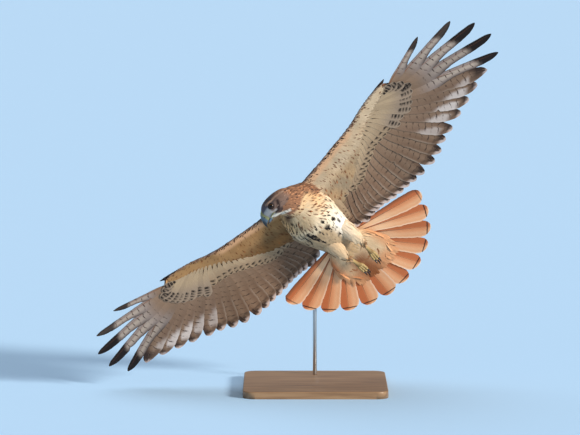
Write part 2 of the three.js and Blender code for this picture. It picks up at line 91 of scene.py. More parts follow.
def step(x, low, high):
    t = np.clip((np.asarray(x, float) - low) / (high - low), 0, 1)
    return t * t * (3 - 2 * t)


def blend(a, b, t):
    return a + (b - a) * np.asarray(t)[..., None]


def unit(v):
    v = np.asarray(v, float)
    return v / np.maximum(np.linalg.norm(v, axis=-1, keepdims=True), 1e-9)


def through(at, values, x):
    # a smooth curve through values given at stations
    at, values, x = np.asarray(at, float), np.asarray(values, float), np.asarray(x, float)
    slope = np.gradient(values, at)
    i = np.clip(np.searchsorted(at, x) - 1, 0, len(at) - 2)
    w = at[i + 1] - at[i]
    t = np.clip((x - at[i]) / w, 0, 1)
    a = (2 * t**3 - 3 * t**2 + 1) * values[i] + (t**3 - 2 * t**2 + t) * w * slope[i]
    return a + (3 * t**2 - 2 * t**3) * values[i + 1] + (t**3 - t**2) * w * slope[i + 1]


# Flesh under the plumage, each part a row of sections
torso = {
    "at": [-152, -132, -108, -78, -42, -4, 32, 62, 86, 101],
    "halfWidth": [24, 40, 49, 55, 63, 69, 71, 63, 49, 30],
    "top": [10, 17, 24, 32, 41, 47, 49, 46, 38, 26],
    "bottom": [-14, -28, -40, -52, -61, -66, -64, -54, -42, -27],
    "coat": 5,
}
neck = {
    "path": [[70, 0, 0], [98, -3, -1], [116, -10, -4], [128, -18, -2], [138, -26, 2]],
    "radius": [40, 39, 35, 30, 24],
    # the full nape, from the back of the head to the left shoulder
    "nape": [[137, -2, 9], [120, 6, 6], [98, 18, 10], [76, 34, 16], [58, 44, 18]],
    "napeRadius": [16, 25, 29, 30, 26],
    "coat": 4,
}
head = {
    "place": [136, -26, 0],
    "forward": [-0.033, -0.936, -0.347],
    "crown": [0.72, -0.263, 0.64],
    "at": [-46, -38, -24, -6, 12, 26, 35, 40],
    "halfWidth": [9, 19, 27, 30, 28, 20, 13, 9],
    "top": [3, 11, 19, 25.5, 28.5, 27, 22, 16],
    "bottom": [-17, -25, -30, -31, -28, -21, -15, -12],
    "brow": [(-6, 23, 13), (4, 25.5, 15.5), (14, 24.5, 15.5), (23, 20, 12.5), (30, 14, 9)],
    "browRadius": [1.5, 3.4, 3.8, 3.0, 1.5],
    "muzzle": [(22, 22, 24, -19), (30, 15.5, 22, -15), (36, 12, 19, -12.5), (40, 10, 16.4, -11)],
    "coat": 2,
}
headX = unit(head["forward"])
headZ = unit(np.array(head["crown"]) - headX * np.dot(head["crown"], headX))
headY = np.cross(headZ, headX)


def headPoint(x, y, z):
    x, y, z = (np.asarray(c, float)[..., None] for c in (x, y, z))
    return np.array(head["place"], float) + headX * x + headY * y + headZ * z


def headCoordinates(points):
    d = np.asarray(points) - np.array(head["place"], float)
    return d @ headX, d @ headY, d @ headZ


wing = {
    "shoulder": (58, 47, 18),
    "elbow": (104, 32), "wrist": (199, -52), "palm": (269, -68), "fingerEnd": (300, -76),
    "bend": 24, "twistFrom": 130, "twistTo": 270,
    "tipLift": 6, "tipLiftFrom": 380, "tipLiftOver": 200,
    "left": {
        "side": 1, "paintedShade": (1, 1, 1), "armRise": 2.4, "handRise": -2.7, "armTwist": 8.7, "handTwist": 12.5,
        "fan": 1.04,
    },
    # painted shade: the right wing's colours are multiplied darker and warmer, as if its underside lay in shade
    "right": {
        "side": -1, "paintedShade": (0.62, 0.46, 0.29), "armRise": 0.4, "handRise": 0, "armTwist": 1.9, "handTwist": 8.8,
        "fan": 0.96,
    },
    # out, front, back and thickness of each rib
    "ribs": [
        (-34, -34, 84, 44), (0, -42, 84, 36), (34, -46, 78, 26), (68, -50, 68, 19), (102, -56, 58, 16),
        (135, -63, 32, 15), (168, -72, 4, 14), (198, -80, -24, 13), (225, -89, -38, 12),
        (250, -97, -46, 11), (275, -103, -54, 10), (300, -107, -62, 8), (318, -107, -74, 5),
    ],
    "coat": 2.2, "thinnest": 2.2, "thinning": 0.35, "shoulderFull": 8,
}


def wingRise(own, o):
    past = wing["bend"] * np.log1p(np.exp((o - wing["wrist"][0]) / wing["bend"]))
    arm, hand = math.tan(math.radians(own["armRise"])), math.tan(math.radians(own["handRise"]))
    curl = wing["tipLift"] * (np.maximum(0, o - wing["tipLiftFrom"]) / wing["tipLiftOver"]) ** 2
    twist = own["armTwist"] + (own["handTwist"] - own["armTwist"]) * step(o, wing["twistFrom"], wing["twistTo"])
    return arm * o + (hand - arm) * past + curl, np.radians(twist)


def wingPoint(which, o, b, n):
    own = wing[which]
    o, b, n = np.broadcast_arrays(np.asarray(o, float), b, n)
    rise, twist = wingRise(own, o)
    sx, sy, sz = wing["shoulder"]
    return np.stack([
        sx - b * np.cos(twist) - n * np.sin(twist),
        own["side"] * (sy + o),
        sz + rise - b * np.sin(twist) + n * np.cos(twist),
    ], -1)


def wingCoordinates(which, points):
    own = wing[which]
    sx, sy, sz = wing["shoulder"]
    o = own["side"] * points[:, 1] - sy
    rise, twist = wingRise(own, o)
    a, c = sx - points[:, 0], points[:, 2] - sz - rise
    return o, a * np.cos(twist) - c * np.sin(twist), a * np.sin(twist) + c * np.cos(twist)


tail = {
    "root": (-118, 0, 8), "fan": 77, "drop": 14.3, "twist": -2.4, "length": 226, "count": 12, "level": 0,
    "spread": 14, "outerShort": 10, "middleRaise": 1.6,
    "coverts": {"count": 12, "spread": 26, "fan": 34, "length": 84, "level": 7},
    "rump": [(4, 44, 13), (20, 52, 14), (44, 52, 12), (64, 44, 6)], "rumpLevel": -2,
    "coat": 3,
    # back, half width, top and bottom
    "pad": [
        (0, 44, 0, -30), (22, 64, -1, -23), (45, 74, -2, -16), (70, 77, -2, -12), (92, 73, -2.5, -9.5),
        (110, 60, -3, -8), (122, 38, -3, -6.5),
    ],
}
tailTurn = np.array(
    Matrix.Rotation(math.radians(-tail["drop"]), 3, "Y") @ Matrix.Rotation(math.radians(tail["twist"]), 3, "X")
)


def tailPoint(o, b, n):
    o, b, n = np.broadcast_arrays(np.asarray(o, float), b, n)
    return np.stack([-b, o, n], -1) @ tailTurn.T + np.array(tail["root"], float)


def onTail(b, o, n):
    return tailPoint(o, b, n)


legs = {
    "left": {
        "thigh": [(-40, 38, -30), (-78, 42, -48), (-104, 43, -56)],
        "heel": (-112, 42, -60), "toes": (-150, 37, -61),
    },
    "right": {
        "thigh": [(-40, -14, -34), (-78, -12, -56), (-104, -10, -62)],
        "heel": (-112, -9, -64), "toes": (-152, -8, -65),
    },
    "radius": [20, 17, 9.5],
}


# Skin: every part lofted from circles, then fused into one closed surface
def loft(bm, sections, segments=28):
    loops = []
    for place in sections:
        ring = bmesh.ops.create_circle(bm, cap_ends=False, radius=1, segments=segments)["verts"]
        edges = list({e for vert in ring for e in vert.link_edges})
        for vert in ring:
            vert.co = Vector(place(vert.co.x, vert.co.y))
        loops.append(edges)
    for near, far in zip(loops, loops[1:]):
        bmesh.ops.bridge_loops(bm, edges=near + far)
    for end in (loops[0], loops[-1]):
        bmesh.ops.contextual_create(bm, geom=end)


def ovals(rows, place):
    # a section for each row of along, half width, top and bottom
    def ovalAt(x, wide, top, bottom):
        middle, half = (top + bottom) / 2, (top - bottom) / 2
        return lambda c, s: place(x, wide * c, middle + half * s)
    return [ovalAt(*row) for row in rows]


def sectionsOf(part, place, steps=18):
    thick = part["coat"]
    rows = []
    for x in np.linspace(part["at"][0] + thick, part["at"][-1] - thick, steps):
        wide, top, bottom = (float(through(part["at"], part[key], x)) for key in ("halfWidth", "top", "bottom"))
        rows.append((x, wide - thick, top - thick, bottom + thick))
    return ovals(rows, place)


def framesAlong(path, radii, steps):
    # evenly along a smooth path: place, direction, sideways, upwards and radius
    path = np.array(path, float)
    t = np.linspace(0, 1, steps)
    line = np.stack([through(np.linspace(0, 1, len(path)), path[:, c], t) for c in range(3)], -1)
    radius = through(np.linspace(0, 1, len(radii)), radii, t)
    along = unit(np.gradient(line, axis=0))
    side = unit(np.cross([0, 0, 1], along[0]))
    frames = []
    for place, way, r in zip(line, along, radius):
        side = unit(side - way * np.dot(side, way))
        frames.append((place, way, side, np.cross(way, side), r))
    return frames


def sectionsAlong(path, radii, shrink=0.0, flat=1.0, steps=12):
    def ringAt(place, way, side, rise, r):
        return lambda c, s: place + side * c * (r - shrink) + rise * s * (r - shrink) * flat
    return [ringAt(*frame) for frame in framesAlong(path, radii, steps)]


def frontOf(o, front):
    # the ribs' front edge, fuller by the shoulder
    return front - wing["shoulderFull"] * step(o, -30, 10) * (1 - step(o, 110, 190))


def wingSections(which):
    def ribAt(o, front, back, thick):
        front, half = frontOf(o, front) + wing["coat"], max(wing["thinnest"], thick / 2 - wing["coat"])

        def place(c, s):
            t = (1 - c) / 2
            return wingPoint(which, o, front + (back - front) * t, s * half * (1 - wing["thinning"] * t))
        return place
    return [ribAt(*rib) for rib in wing["ribs"]]


def rumpRows():
    level = tail["rumpLevel"]
    for b, wide, half in tail["rump"]:
        yield b, wide - tail["coat"], level + half - tail["coat"], level - half + tail["coat"]


def browLine(side):
    line = [headPoint(x, side * (y - 1.5), z - 1) for x, y, z in head["brow"]]
    return sectionsAlong(line, head["browRadius"], steps=9)


# the tract that each loft belongs to, and its sections
parts = [
    ("torso", sectionsOf(torso, lambda x, y, z: (x, y, z))),
    ("neck", sectionsAlong(neck["path"], neck["radius"], neck["coat"], 0.95)),
    ("neck", sectionsAlong(neck["nape"], neck["napeRadius"], 1.0)),
    ("head", sectionsOf(head, headPoint)),
    ("head", browLine(1)),
    ("head", browLine(-1)),
    ("head", ovals(head["muzzle"], headPoint)),
    ("wingLeft", wingSections("left")),
    ("wingRight", wingSections("right")),
    ("legLeft", sectionsAlong(legs["left"]["thigh"], legs["radius"])),
    ("legRight", sectionsAlong(legs["right"]["thigh"], legs["radius"])),
    ("rump", ovals(rumpRows(), onTail)),
    ("vent", ovals(tail["pad"], onTail)),
]
partNames = list(dict.fromkeys(name for name, sections in parts))
skinLook = {"voxel": 2.6, "smoothings": 4, "lieSmoothings": 14, "sizeSmoothings": 10, "shade": 0.92}


def collect(name, mesh):
    # a new object in the scene
    piece = bpy.data.objects.new(name, mesh)
    bpy.context.scene.collection.objects.link(piece)
    return piece


def tractOn(tract, *names):
    return np.isin(tract, [partNames.index(name) for name in names])


def makeSkin():
    whole = bmesh.new()
    sources = KDTree(60000)
    for name, sections in parts:
        index = partNames.index(name)
        bm = bmesh.new()
        loft(bm, sections)
        fine = bm.copy()
        bmesh.ops.subdivide_edges(fine, edges=fine.edges[:], cuts=2, use_grid_fill=True)
        for vert in fine.verts:
            sources.insert(vert.co, index)
        mesh = bpy.data.meshes.new(name)
        bmesh.ops.recalc_face_normals(bm, faces=bm.faces[:])
        bm.to_mesh(mesh)
        whole.from_mesh(mesh)
        bpy.data.meshes.remove(mesh)
        bm.free()
        fine.free()
    sources.balance()
    for vert in whole.verts:
        vert.co = Vector(toWorld(vert.co))
    mesh = bpy.data.meshes.new("skin")
    whole.to_mesh(mesh)
    whole.free()
    skin = collect("skin", mesh)
    fuse = skin.modifiers.new("fuse", "REMESH")
    fuse.mode = "VOXEL"
    fuse.voxel_size = skinLook["voxel"] * mm
    fused = bpy.data.meshes.new_from_object(skin.evaluated_get(bpy.context.evaluated_depsgraph_get()))
    skin.modifiers.clear()
    bm = bmesh.new()
    bm.from_mesh(fused)
    for _ in range(skinLook["smoothings"]):
        bmesh.ops.smooth_vert(
            bm, verts=bm.verts[:], factor=0.5, use_axis_x=True, use_axis_y=True, use_axis_z=True,
        )
    bm.to_mesh(mesh)
    bm.free()
    mesh.polygons.foreach_set("use_smooth", [True] * len(mesh.polygons))
    return skin, sources


# Feather tracts: what part a point of the skin belongs to, and which way its feathers lie
# degrees behind straight out, along the wing from body to tip
wingLie = {
    "at": [-40, 0, 104, 150, 199, 235, 269, 300, 330],
    "degrees": [112, 108, 104, 82, 58, 38, 22, 2, -12],
}


def planAngle(o, into):
    # less at the front edge
    late = np.interp(o, wingLie["at"], wingLie["degrees"])
    front = np.minimum(late, 32 + 24 * step(into, 6, 18))
    return late + (front - late) * (1 - step(into, 14, 50))


def behindFront(o, b):
    ribs = np.array(wing["ribs"])
    return b - frontOf(o, np.interp(o, ribs[:, 0], ribs[:, 1]))


def tractsOf(points, sources):
    tract = np.array([sources.find(Vector(p))[1] for p in points])
    lie = np.zeros_like(points)
    lie[:] = (-1, 0, -0.05)
    onNeck, pad = tractOn(tract, "neck"), tractOn(tract, "vent")
    lie[onNeck] = unit(np.array(neck["path"][0]) - np.array(neck["path"][-1]))
    # beside the neck and on the breast the feathers sweep out to the shoulders
    side = np.sign(points[:, 1]) * step(np.abs(points[:, 1] - 2), 8, 34) * step(points[:, 0], 34, 74)
    out = np.where(points[:, 1] > 0, 2.0, 0.7) * side
    lie[:, 1] += np.where(tractOn(tract, "neck", "torso"), out, 0)
    lie[tractOn(tract, "head")] = -headX
    lie[pad] = tailTurn @ (-1, 0, 0)
    lie[pad, 1] += 0.006 * points[pad, 1]
    for which, part in (("left", "Left"), ("right", "Right")):
        mask = tractOn(tract, "wing" + part)
        o, b, n = wingCoordinates(which, points[mask])
        a = np.radians(planAngle(o, behindFront(o, b)))
        lie[mask] = unit(wingPoint(which, o + np.cos(a), b + np.sin(a), n) - wingPoint(which, o, b, n))
        lie[tractOn(tract, "leg" + part)] = thighWay(which)
    return tract, unit(lie)


def thighWay(which):
    thigh = np.array(legs[which]["thigh"], float)
    return unit(thigh[-1] - thigh[0])


def flatten(lie, normals):
    # directions laid down on the surface
    return unit(lie - normals * (lie * normals).sum(1)[:, None])


def skinField(skin, sources):
    mesh = skin.data
    count = len(mesh.vertices)
    points = np.empty(count * 3)
    mesh.vertices.foreach_get("co", points)
    normals = np.empty(count * 3)
    mesh.vertices.foreach_get("normal", normals)
    points, normals = toBird(points.reshape(-1, 3)), normals.reshape(-1, 3) @ turn
    tract, lie = tractsOf(points, sources)
    hidden = tractOn(tract, "rump") & (normals @ tailTurn[:, 2] < 0.3)
    tract[hidden] = partNames.index("vent")
    edges = np.empty(len(mesh.edges) * 2, int)
    mesh.edges.foreach_get("vertices", edges)
    a, b = edges.reshape(-1, 2).T
    for _ in range(skinLook["lieSmoothings"]):
        total = lie.copy()
        np.add.at(total, a, lie[b])
        np.add.at(total, b, lie[a])
        lie = unit(total)
    lie = flatten(lie, normals)
    mesh.calc_loop_triangles()
    triangles = np.empty(len(mesh.loop_triangles) * 3, int)
    mesh.loop_triangles.foreach_get("vertices", triangles)
    triangles = triangles.reshape(-1, 3)
    return {"points": points, "normals": normals, "tract": tract, "lie": lie, "triangles": triangles}


# Markings: the colour of the plumage at any place. Feathers and skin both read these.
coat = {
    "cream": ink(234, 212, 180), "highlightWhite": ink(252, 245, 232), "buff": ink(208, 170, 120), "warm": ink(224, 168, 108),
    "crop": ink(172, 144, 108), "vent": ink(206, 170, 126), "shade": ink(172, 142, 106), "spot": ink(28, 20, 17),
    "lining": ink(150, 129, 103), "liningPale": ink(222, 194, 160), "liningWarm": ink(184, 146, 104),
    "edge": ink(22, 20, 27), "edgeGrey": ink(126, 108, 112), "bar": ink(214, 164, 124),
    "nape": ink(140, 98, 72), "napeEdge": ink(176, 128, 92), "crown": ink(70, 60, 62), "slateSheen": ink(92, 90, 102),
    "face": ink(188, 178, 172), "lores": ink(178, 174, 172), "brow": ink(158, 128, 108), "cheek": ink(46, 34, 34),
    "ear": ink(120, 96, 84), "chin": ink(232, 220, 202), "throat": ink(80, 50, 36), "back": ink(74, 55, 43),
    "rumpTop": ink(150, 98, 62), "thigh": ink(218, 186, 148),
    "padMiddle": ink(222, 190, 150), "padEdge": ink(216, 148, 100), "padShaded": ink(126, 66, 28),
}
# dark marks on the belly and flanks: x, y, z, length, width
bellyMarks = np.array([
    (25, 70, -11, 9, 4), (14, 70, -9, 10, 4), (-15, 72, 0, 16, 7), (9, 68, -21, 9, 5), (44, 68, -16, 7, 3),
    (42, 57, -37, 8, 4), (32, 60, -37, 9, 4), (49, 46, -44, 8, 3), (34, 51, -44, 7, 4), (37, 41, -51, 8, 4),
    (24, 46, -51, 13, 5), (9, 47, -51, 13, 7), (-1, 58, -39, 9, 5), (-15, 51, -45, 11, 5), (-38, 51, -40, 9, 4),
    (-49, 47, -40, 8, 4), (30, 27, -59, 16, 5), (19, 32, -58, 8, 4), (8, 23, -63, 15, 11), (-2, 23, -62, 10, 6),
    (-10, 33, -57, 11, 7), (-19, 30, -58, 7, 4), (-41, 28, -55, 10, 6), (40, 4, -61, 9, 4), (30, 0, -64, 10, 6),
    (19, -1, -65, 7, 4), (8, 3, -66, 9, 4), (29, -26, -60, 16, 7), (22, -42, -54, 15, 6), (13, -21, -63, 24, 10),
    (-3, -18, -63, 14, 7), (-19, -17, -62, 15, 7), (-6, -41, -54, 12, 6), (7, -41, -55, 12, 6),
    (-41, -16, -59, 6, 4), (-43, -5, -66, 7, 4), (-51, -2, -67, 6, 4), (-12, -56, -40, 12, 6),
    (10, -60, -32, 14, 6), (-30, -50, -42, 9, 5), (28, -62, -28, 12, 5), (-4, -66, -20, 12, 6),
    (18, -68, -10, 12, 5), (-26, -60, -18, 9, 5),
], float)
bellyLook = {"reach": 0.72, "wide": 0.8}
face = {
    "eye": (10.8, 4.6), "rim": (7.0, 8.6), "bare": 8.2,
    "supercilium": [(16, 17), (8, 15), (-1, 12.5), (-13, 10), (-26, 6), (-35, 0)],
    "moustache": [(19, -12), (12, -13), (5, -12.5), (-2, -8), (-8, -1)],
    "jaw": [(15, -15), (6, -19), (-2, -25), (-12, -31)],
    "pale": [(11, -9.5), (19, -7.5), (25, -2), (29, 5)],
    "whiteLine": [(31, -12), (28, -15), (16, -23), (4, -32), (-6, -39)],
}


def wobble(points, size, seed):
    # smooth noise between -1 and 1 from a few random waves
    waves = np.random.default_rng(seed).normal(size=(7, 3)) / size
    phase = np.random.default_rng(seed + 1).uniform(0, 6.28, 7)
    return np.sin(points @ waves.T * 2.2 + phase).mean(1) * 1.8


def nearLine(x, z, line):
    # distance to a bent line in the plane of the face
    best = np.full(np.shape(x), 1e9)
    for (ax, az), (bx, bz) in zip(line, line[1:]):
        t = np.clip(((x - ax) * (bx - ax) + (z - az) * (bz - az)) / ((bx - ax) ** 2 + (bz - az) ** 2), 0, 1)
        best = np.minimum(best, np.hypot(x - ax - t * (bx - ax), z - az - t * (bz - az)))
    return best


def near(p, place, reach):
    return np.exp(-(((p - np.array(place)) / reach) ** 2).sum(1))


def painted(palette, base, *layers):
    # layers of colour one over the other, each with how fully it covers
    for colour, cover in layers:
        base = blend(base, palette[colour], cover)
    return base


def coatBase(name, p):
    return np.tile(coat[name], (len(p), 1))


def bodyColour(p, up):
    # up: how far a place faces out of the back, -1 to 1
    x, y, z = p.T
    base = painted(
        coat, coatBase("cream", p),
        ("buff", 0.4 * step(x, 20, 80) + 0.5 * step(-y, 10, 50) * step(x, 0, 60)),
        ("warm", 0.5 * step(x, 26, 72) * step(np.abs(y), 16, 56)),
        ("crop", 0.9 * near(p, (62, -10, -50), (30, 24, 28))),
        # a whiter patch on the left flank: the belly's own pale colour, with a painted highlight where the flank
        # faces the light
        ("highlightWhite", near(p, (-34, 46, -44), (42, 26, 34))),
        # painted shade on the lower belly, away from the left flank, where the body turns from the light
        ("shade", 0.9 * step(40 - y, 0, 26) * step(34 - x, 0, 24)),
        ("throat", 0.9 * near(p, (88, -36, -24), (12, 12, 14))),
        ("vent", step(-x, 66, 130) * 0.9),
    ) * (1 + 0.1 * wobble(p, 14, 21))[:, None]
    top = step(up, -0.08, 0.3)
    return painted(coat, base, ("back", top), ("rumpTop", top * step(-x, 90, 130))), top


def headColour(p):
    x, y, z = headCoordinates(p)
    side = step(np.abs(y), 5, 13)
    line = lambda name, low, high: 1 - step(nearLine(x, z, face[name]), low, high)
    fromEye = np.hypot(x - face["eye"][0], z - face["eye"][1])
    under = np.clip(step(-z - 0.9 * np.maximum(0, 14 - x), 14, 18), 0, 1)
    return painted(
        coat, coatBase("crown", p),
        ("nape", step(-x, 4, 34)),
        # painted sheen: the dark crown turns blue-grey on the forehead
        ("slateSheen", 0.7 * step(x, 8, 30)),
        ("ear", 0.9 * (step(9 - z, 0, 8) * side) * (1 - step(-x, 28, 42))),
        ("cheek", 0.8 * side * line("jaw", 3, 8)),
        ("cheek", 0.95 * side * line("moustache", 2.5, 5.5)),
        ("brow", 0.75 * side * line("supercilium", 0.8, 4.2)),
        ("lores", 0.9 * step(x, 17, 23) * (1 - step(z, 9, 13)) * side),
        ("face", 0.75 * side * line("pale", 1.0, 3.4)),
        ("cheek", 0.95 * side * (1 - step(fromEye, *face["rim"]))),
        ("throat", under * (1 - step(x, 12, 24))),
        ("chin", under * step(x, 12, 24)),
        ("chin", 0.95 * step(np.abs(y), 4, 9) * line("whiteLine", 1.5, 4.5)),
    )


def onNape(p):
    return np.maximum(step(p[:, 0], 97, 107) * step(p[:, 1], -30, -16), step(p[:, 2], -14, 2))


def neckColour(p, up):
    x, _, z = headCoordinates(p)
    base, _ = bodyColour(p, up)
    nape = onNape(p)
    return painted(
        coat, base,
        ("warm", 0.3),
        ("crop", 0.9 * near(p, (82, -8, -46), (18, 22, 22))),
        ("throat", np.clip(1.3 * near(p, (92, -34, -26), (13, 13, 13)), 0, 1)),
        ("nape", nape),
        ("chin", 0.9 * (1 - step(nearLine(x, z, face["whiteLine"]), 1.5, 4.5)) * step(-p[:, 2], 18, 26)),
    ), nape


def wingColour(which, p):
    o, b, n = wingCoordinates(which, p)
    into = behindFront(o, b)
    above = step(n, -1.5, 0.5)
    base = painted(
        coat, coatBase("lining", p),
        ("liningWarm", np.clip(0.3 + 0.5 * wobble(p, 34, 5), 0, 1)),
        ("liningPale", (0.5 + 0.15 * wobble(p, 22, 9)) * (1 - step(into, 50, 80))),
        ("liningPale", 0.35 * step(o, 190, 240)),
    )
    return painted(
        # painted shade: the lining is multiplied by the wing's paintedShade, darker and warmer on the right wing
        coat, base * wing[which]["paintedShade"],
        ("bar", 0.8 * (1 - step(into, 16, 30)) * (1 - step(o, 160, 196))),
        ("back", above),
        ("edgeGrey", 0.6 * (1 - step(into, 6, 9)) * (1 - above)),
        ("edge", 1 - step(into, 3.5, 5.5)),
    ), above


def fieldColour(tract, p, up):
    # plain colour at a place, and how strongly the feathers there are pale edged
    colour, edged = np.zeros((len(p), 3)), np.zeros(len(p))
    for index, name in enumerate(partNames):
        m = tract == index
        if not m.any():
            continue
        if name.startswith("wing"):
            colour[m], above = wingColour(name[4:].lower(), p[m])
            edged[m] = 0.6 * above
        elif name == "head":
            colour[m] = headColour(p[m])
            x, _, z = headCoordinates(p[m])
            edged[m] = 0.5 * step(-x, 6, 30) * step(z, -14, 0)
        elif name == "neck":
            colour[m], edged[m] = neckColour(p[m], up[m])
        else:
            colour[m], top = bodyColour(p[m], up[m])
            edged[m] = 0.6 * top
            if name.startswith("leg"):
                colour[m] = blend(colour[m], coat["thigh"], 0.75)
            if name == "vent":
                colour[m] = padColour(p[m])
    return colour, edged


def padColour(p):
    q = (p - np.array(tail["root"], float)) @ tailTurn
    b, o = -q[:, 0], q[:, 1]
    return painted(
        coat, coatBase("padMiddle", p) * (1 + 0.05 * wobble(p, 20, 3))[:, None],
        ("padEdge", 0.85 * np.maximum(step(np.abs(o), 42, 74), step(b, 84, 122))),
        # the tail's rufous base between the feet, darkened with painted shadow
        ("padShaded", 0.92 * step(b, 40, 80) * np.exp(-(((o + 12) / 32) ** 2))),
    )


# Streaks and spots: each mark's place, direction, half length, half width, strength and two colours
marks = {}
# how marks are sown on each area: gap, half length, half width, strength, colour of the core and of the end
sowing = {
    "breastLeft": (8.2, 7.5, 1.7, 1.0, ink(96, 48, 22), ink(190, 104, 44)),
    # the streaks are the bird's own; on the right side of the breast they are painted darker, as painted shade on
    # the side turned from the light
    "breastRightShaded": (7.0, 9, 1.6, 1.0, ink(44, 27, 18), ink(120, 74, 40)),
    "nape": (5.0, 5, 1.3, 1.0, ink(34, 25, 30), ink(96, 58, 44)),
    "napePale": (6.5, 4.6, 1.2, 0.9, ink(206, 146, 104), ink(176, 112, 72)),
    "crown": (4.2, 3.4, 0.8, 0.85, ink(34, 29, 34), ink(62, 52, 54)),
    "cheek": (4.6, 3.6, 0.7, 0.55, ink(190, 160, 140), ink(160, 124, 104)),
    "belly": (11, 4.2, 1.5, 1.0, coat["spot"], ink(60, 40, 30)),
    "throat": (4.2, 6, 1.6, 1.0, ink(34, 21, 16), ink(88, 54, 34)),
    "wingFront": (4.9, 6.2, 1.7, 1.0, ink(14, 9, 9), ink(120, 52, 22)),
    "armLining": (7.5, 5.0, 1.6, 1.0, ink(96, 50, 22), ink(168, 92, 40)),
    "handLining": (7.5, 5.4, 1.9, 1.0, ink(84, 40, 18), ink(168, 90, 40)),
}


def sow(field, area, mask):
    gap, reach, wide, strength, core, end = sowing[area]
    sites = scatter(field, mask, np.full(len(field["points"]), float(gap)))
    vary = rng.normal(1, 0.22, (3, len(sites["root"]))).clip(0.6, 1.5)
    strength = np.minimum(1, strength * vary[2])
    addMarks(sites["root"], sites["lie"], reach * vary[0], wide * vary[1], strength, core, end)


def addMarks(place, lie, reach, wide, strength, core, end):
    count = len(place)
    values = (place, lie, reach, wide, strength, np.tile(core, (count, 1)), np.tile(end, (count, 1)))
    for key, value in zip(("place", "lie", "reach", "wide", "strength", "core", "end"), values):
        marks[key] = np.concatenate([marks[key], value]) if key in marks else value


def sowMarks(field):
    p, up, tract = field["points"], field["normals"][:, 2], field["tract"]
    on = lambda *names: tractOn(tract, *names)
    x, y = p[:, 0], p[:, 1]
    hx, _, hz = headCoordinates(p)
    nape = onNape(p) > 0.5
    breast = on("torso", "neck") & (up < 0.1) & (x > 26) & ~(on("neck") & nape)
    breast &= near(p, (66, -9, -49), (15, 12, 15)) < 0.5
    napeSide = on("neck", "torso") & nape & (x > 60)
    sow(field, "breastLeft", breast & (y > -22))
    sow(field, "breastRightShaded", breast & (y <= -18))
    sow(field, "nape", napeSide | (on("head") & (hx < -24)))
    sow(field, "napePale", napeSide)
    sow(field, "crown", on("head") & (hx >= -24) & ((hz > 11) | (hx < -10)))
    sow(field, "cheek", on("head") & (hx < 6) & (hz < 6) & (hz > -18))
    sow(field, "belly", on("torso") & (up < 0) & (x < 40) & (x > -60))
    sow(field, "throat", on("neck", "torso", "head") & (near(p, (88, -38, -26), (15, 12, 15)) > 0.4))
    for which in ("left", "right"):
        o, b, n = wingCoordinates(which, p)
        into = behindFront(o, b)
        lining = on("wing" + which.capitalize()) & (n < 0)
        sow(field, "wingFront", lining & (into > 4) & (into < 25) & (o > -25) & (o < 178))
        sow(field, "armLining", lining & (into >= 24) & (o < 185))
        sow(field, "handLining", lining & (into >= 9) & (o >= 175))
    count = len(bellyMarks)
    reach, wide = bellyMarks[:, 3] * bellyLook["reach"], bellyMarks[:, 4] * bellyLook["wide"]
    backward = np.tile((-1.0, 0, 0), (count, 1))
    addMarks(bellyMarks[:, :3], backward, reach, wide, np.ones(count), coat["spot"], coat["spot"])
    marks["tree"] = KDTree(len(marks["place"]))
    for i, place in enumerate(marks["place"]):
        marks["tree"].insert(place, i)
    marks["tree"].balance()
    print(len(marks["place"]), "marks")


# where along a feather its mark is looked for, out of how many, and how far a mark still counts
markLook = {
    "at": 0.86, "tries": 4, "lengthShare": 0.14, "widthShare": 0.75, "widthMore": 1.1, "narrowBelow": 2.4,
}


def marksFor(f, side):
    # the mark that falls on each feather, shifted to the feather's own middle line when it is narrow
    middle = f["root"] + f["lie"] * (markLook["at"] * f["length"])[:, None]
    hits = (marks["tree"].find_n(Vector(place), markLook["tries"]) for place in middle)
    found = np.array([[index for _, index, _ in hit] for hit in hits])
    away = marks["place"][found] - middle[:, None]
    ahead = (away * f["lie"][:, None]).sum(-1)
    across = (away * side[:, None]).sum(-1)
    reach = marks["reach"][found] + markLook["lengthShare"] * f["length"][:, None]
    wide = marks["wide"][found] * markLook["widthShare"] + markLook["widthMore"]
    score = (ahead / reach) ** 2 + (across / wide) ** 2
    best = score.argmin(1)
    row = np.arange(len(middle))
    one = found[row, best]
    narrow = np.where(marks["wide"][one] < markLook["narrowBelow"], 1.0, 0.3)
    place = marks["place"][one] - side * (across[row, best] * narrow)[:, None]
    unmarked = tractOn(f["tract"], "vent", "legLeft", "legRight")
    strength = marks["strength"][one] * (score[row, best] < 1) * ~unmarked
    return place, marks["reach"][one], marks["wide"][one], strength, marks["core"][one], marks["end"][one]


# Bake map: an unwrap of the skin's own shape, round the body and flat along each wing
def skinMap(tract, p, normal):
    def around(y, z):
        return (np.arctan2(y, z) / (2 * math.pi)) % 1

    def part(value, start, length):
        return np.clip((value + start) / length, 0, 1)
    x, y, z = p.T
    u, v = 0.01 + 0.48 * around(y, z), 0.02 + 0.3 * part(x, 240, 400)
    m = tractOn(tract, "head")
    hx, hy, hz = headCoordinates(p[m])
    u[m], v[m] = 0.51 + 0.24 * around(hy, hz), 0.02 + 0.3 * part(hx, 50, 100)
    for row, which in enumerate(("left", "right")):
        m = tractOn(tract, "wing" + which.capitalize())
        o, b, _ = wingCoordinates(which, p[m])
        under = normal[m][:, 2] < 0
        u[m] = 0.01 + 0.48 * part(o, 40, 380) + np.where(under, 0, 0.5)
        v[m] = 0.35 + 0.32 * row + 0.3 * part(b, 115, 210)
    return np.stack([u, v], -1)


def newStore():
    return {"points": [], "faces": [], "tint": [], "vane": [], "bars": [], "bake": [], "count": 0}


